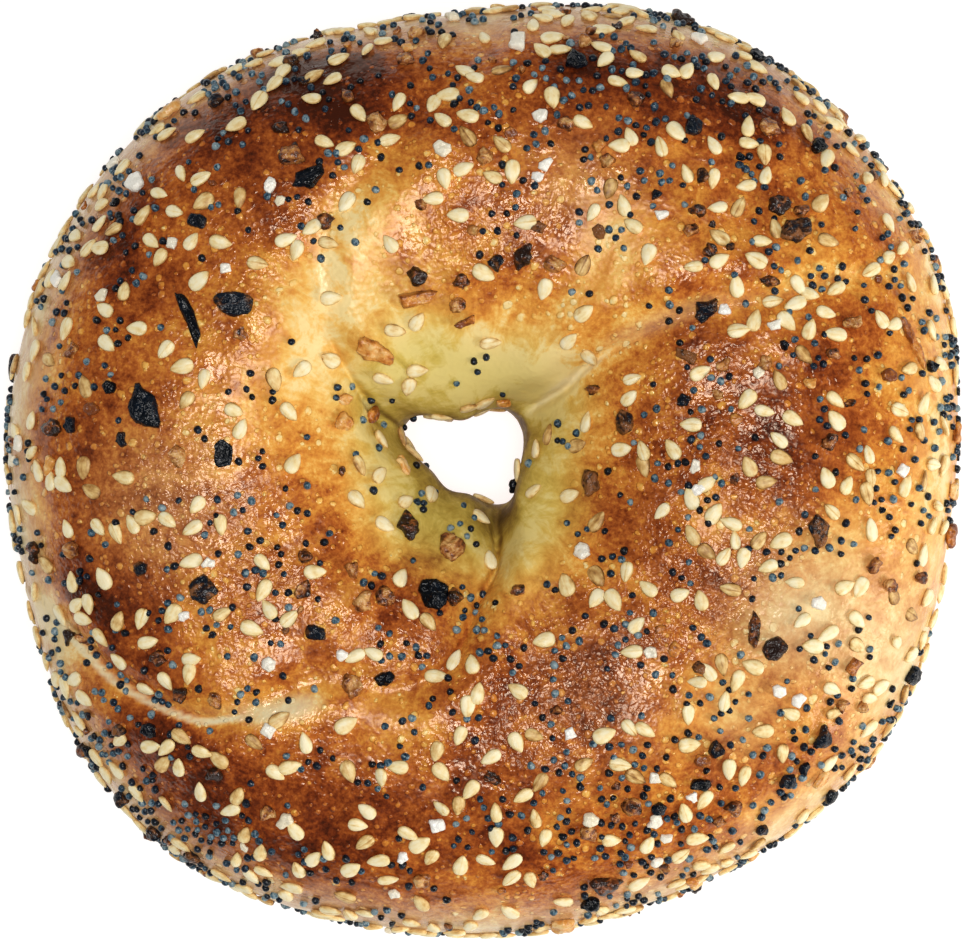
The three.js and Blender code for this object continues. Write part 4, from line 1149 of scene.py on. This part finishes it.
def make_onion_and_salt(surface, charred_rows, toasted_rows, golden_rows, salt_rows):
    charred = rough_coat("Charred_dried_onion", (
        (0.0, "#02050a"), (0.35, "#060e18"), (0.58, "#0f1a26"), (0.74, "#2a1912"), (0.88, "#5a3820"),
        (1.0, "#865530")), 1.4, 1.6, 0.26, 0.22, edge=0.1, fibres=0.6, gloss=0.25)
    toasted = rough_coat("Toasted_dried_onion", (
        (0.0, "#26130b"), (0.15, "#522a15"), (0.38, "#8a4d24"), (0.65, "#b67639"), (1.0, "#daa968")),
        2.1, 1.3, 0.32, 0.22, edge=-0.25, fibres=0.6)
    golden = rough_coat("Toasted_garlic", (
        (0.0, "#7c3e16"), (0.3, "#c4762c"), (0.62, "#e3a250"), (1.0, "#f5d090")),
        1.5, 1.6, 0.34, 0.15, edge=-0.12, fibres=0.6)
    salt = rough_coat("Coarse_salt", (
        (0.0, "#f0e4c4"), (0.4, "#faf4e2"), (1.0, "#fffdf6")), 0.7, 0.7, 0.3, 0.15)
    for name, rows, look, coat, seed in (
            ("charred_onion", charred_rows, (1.5, 5, 0.45, 0.3, 0.4, 0.4, 0.4), charred, 41),
            ("toasted_onion", toasted_rows, (1.5, 5, 0.6, 0.45, 0.35, 0.32, 0.55), toasted, 43),
            ("golden_garlic", golden_rows, (1.3, 6, 0.45, 0.2, 0.3, 0.5, 0.35), golden, 47),
            ("coarse_salt", salt_rows, (1.6, 4, 0.2, 0.1, 0, 0.45, 0.3), salt, 53)):
        make_flakes(surface, name, rows, look, coat, seed)


# ---------- Camera, light and floor ----------
CAMERA_LENS = 200
CAMERA_DISTANCE = 710
CAMERA_OVER = (0.2, 0.13)
FLOOR_REACH = 4000
WORLD_STRENGTH = 0.13


def make_camera():
    """Straight above the bagel, with +Y up in the picture, at a distance from the ring's widest line."""
    camera = bpy.data.objects.new("camera", bpy.data.cameras.new("camera"))
    camera.data.lens = CAMERA_LENS
    camera.data.sensor_width = 36
    camera.location = Vector((*CAMERA_OVER, EQUATOR_HEIGHT + CAMERA_DISTANCE)) * MM
    camera.data.clip_start, camera.data.clip_end = 0.01, 10
    bpy.context.scene.collection.objects.link(camera)
    bpy.context.scene.camera = camera


def add_softbox(name, size_m, place_m, radiance, colour):
    """A square softbox that faces the bagel. radiance is what a white reflection of it shows."""
    light = bpy.data.objects.new(name, bpy.data.lights.new(name, "AREA"))
    light.data.size = size_m
    light.data.energy = radiance * math.pi * size_m ** 2
    light.data.color = linear(colour)[:3]
    light.location = place_m
    light.rotation_mode = "QUATERNION"
    light.rotation_quaternion = (-Vector(place_m)).to_track_quat("-Z", "Y")
    bpy.context.scene.collection.objects.link(light)


def make_studio():
    scene = bpy.context.scene
    scene.view_settings.view_transform = "Standard"
    world = bpy.data.worlds.new("studio")
    scene.world = world
    world.use_nodes = True
    world.node_tree.nodes["Background"].inputs["Color"].default_value = linear("#ffffff")
    world.node_tree.nodes["Background"].inputs["Strength"].default_value = WORLD_STRENGTH
    add_softbox("overhead_softbox", size_m=0.28, place_m=(0.03, -0.03, 1.0), radiance=26.4, colour="#fffdfb")
    add_softbox("side_softbox", size_m=0.35, place_m=(0.75, -0.35, 0.22), radiance=10.0, colour="#fff8ee")
    floor, tree = new_material("Pale_light_table")
    glow = add(tree, "ShaderNodeEmission", {"Color": linear("#ffffff"), "Strength": 0.8})
    matt = add(tree, "ShaderNodeBsdfDiffuse", {"Color": linear("#a8a8a8")})
    both = add(tree, "ShaderNodeAddShader", {0: glow.outputs[0], 1: matt.outputs[0]})
    add(tree, "ShaderNodeOutputMaterial", {"Surface": both.outputs[0]})
    corners = [(x * FLOOR_REACH, y * FLOOR_REACH, 0) for x, y in ((-1, -1), (1, -1), (1, 1), (-1, 1))]
    mesh_object("floor", corners, [(0, 1, 2, 3)], floor)


def make_toppings(surface):
    """The flakes take their places first, then the seeds fill the crust between them."""
    solid = rows_over(SOLID_FLAKES)
    side = rows_scattered(
        SIDE_FLAKE_COUNT, SIDE_FLAKE_SIZE, SIDE_FLAKE_SLENDERNESS, SIDE_FLAKE_SPACING, seed=311,
        share=side_share, taken=taken_by(solid))
    charred, toasted, golden, salt = (
        rows_over(flakes) for flakes in (CHARRED_FLAKES, TOASTED_FLAKES, GOLDEN_FLAKES, SALT_GRAINS))
    listed = charred + toasted + golden + salt
    seed_points = make_sesame(surface, solid + side, listed)
    middles, clearances = taken_by(listed + side)
    taken = (middles + list(seed_points), clearances + [FLAKE_FROM_SEED] * len(seed_points))
    small = rows_scattered(
        SMALL_FLAKE_COUNT, SMALL_FLAKE_SIZE, SMALL_FLAKE_SLENDERNESS, SMALL_FLAKE_SPACING, seed=733,
        share=poppy_share, taken=taken)
    make_poppy(surface, seed_points, listed + side + small)
    make_onion_and_salt(surface, charred + side[:5] + small[:40], toasted + side[5:10] + small[40:100],
                        golden + side[10:] + small[100:130], salt + small[130:])


make_camera()
make_toppings(surface_tree(make_crust()))
make_studio()
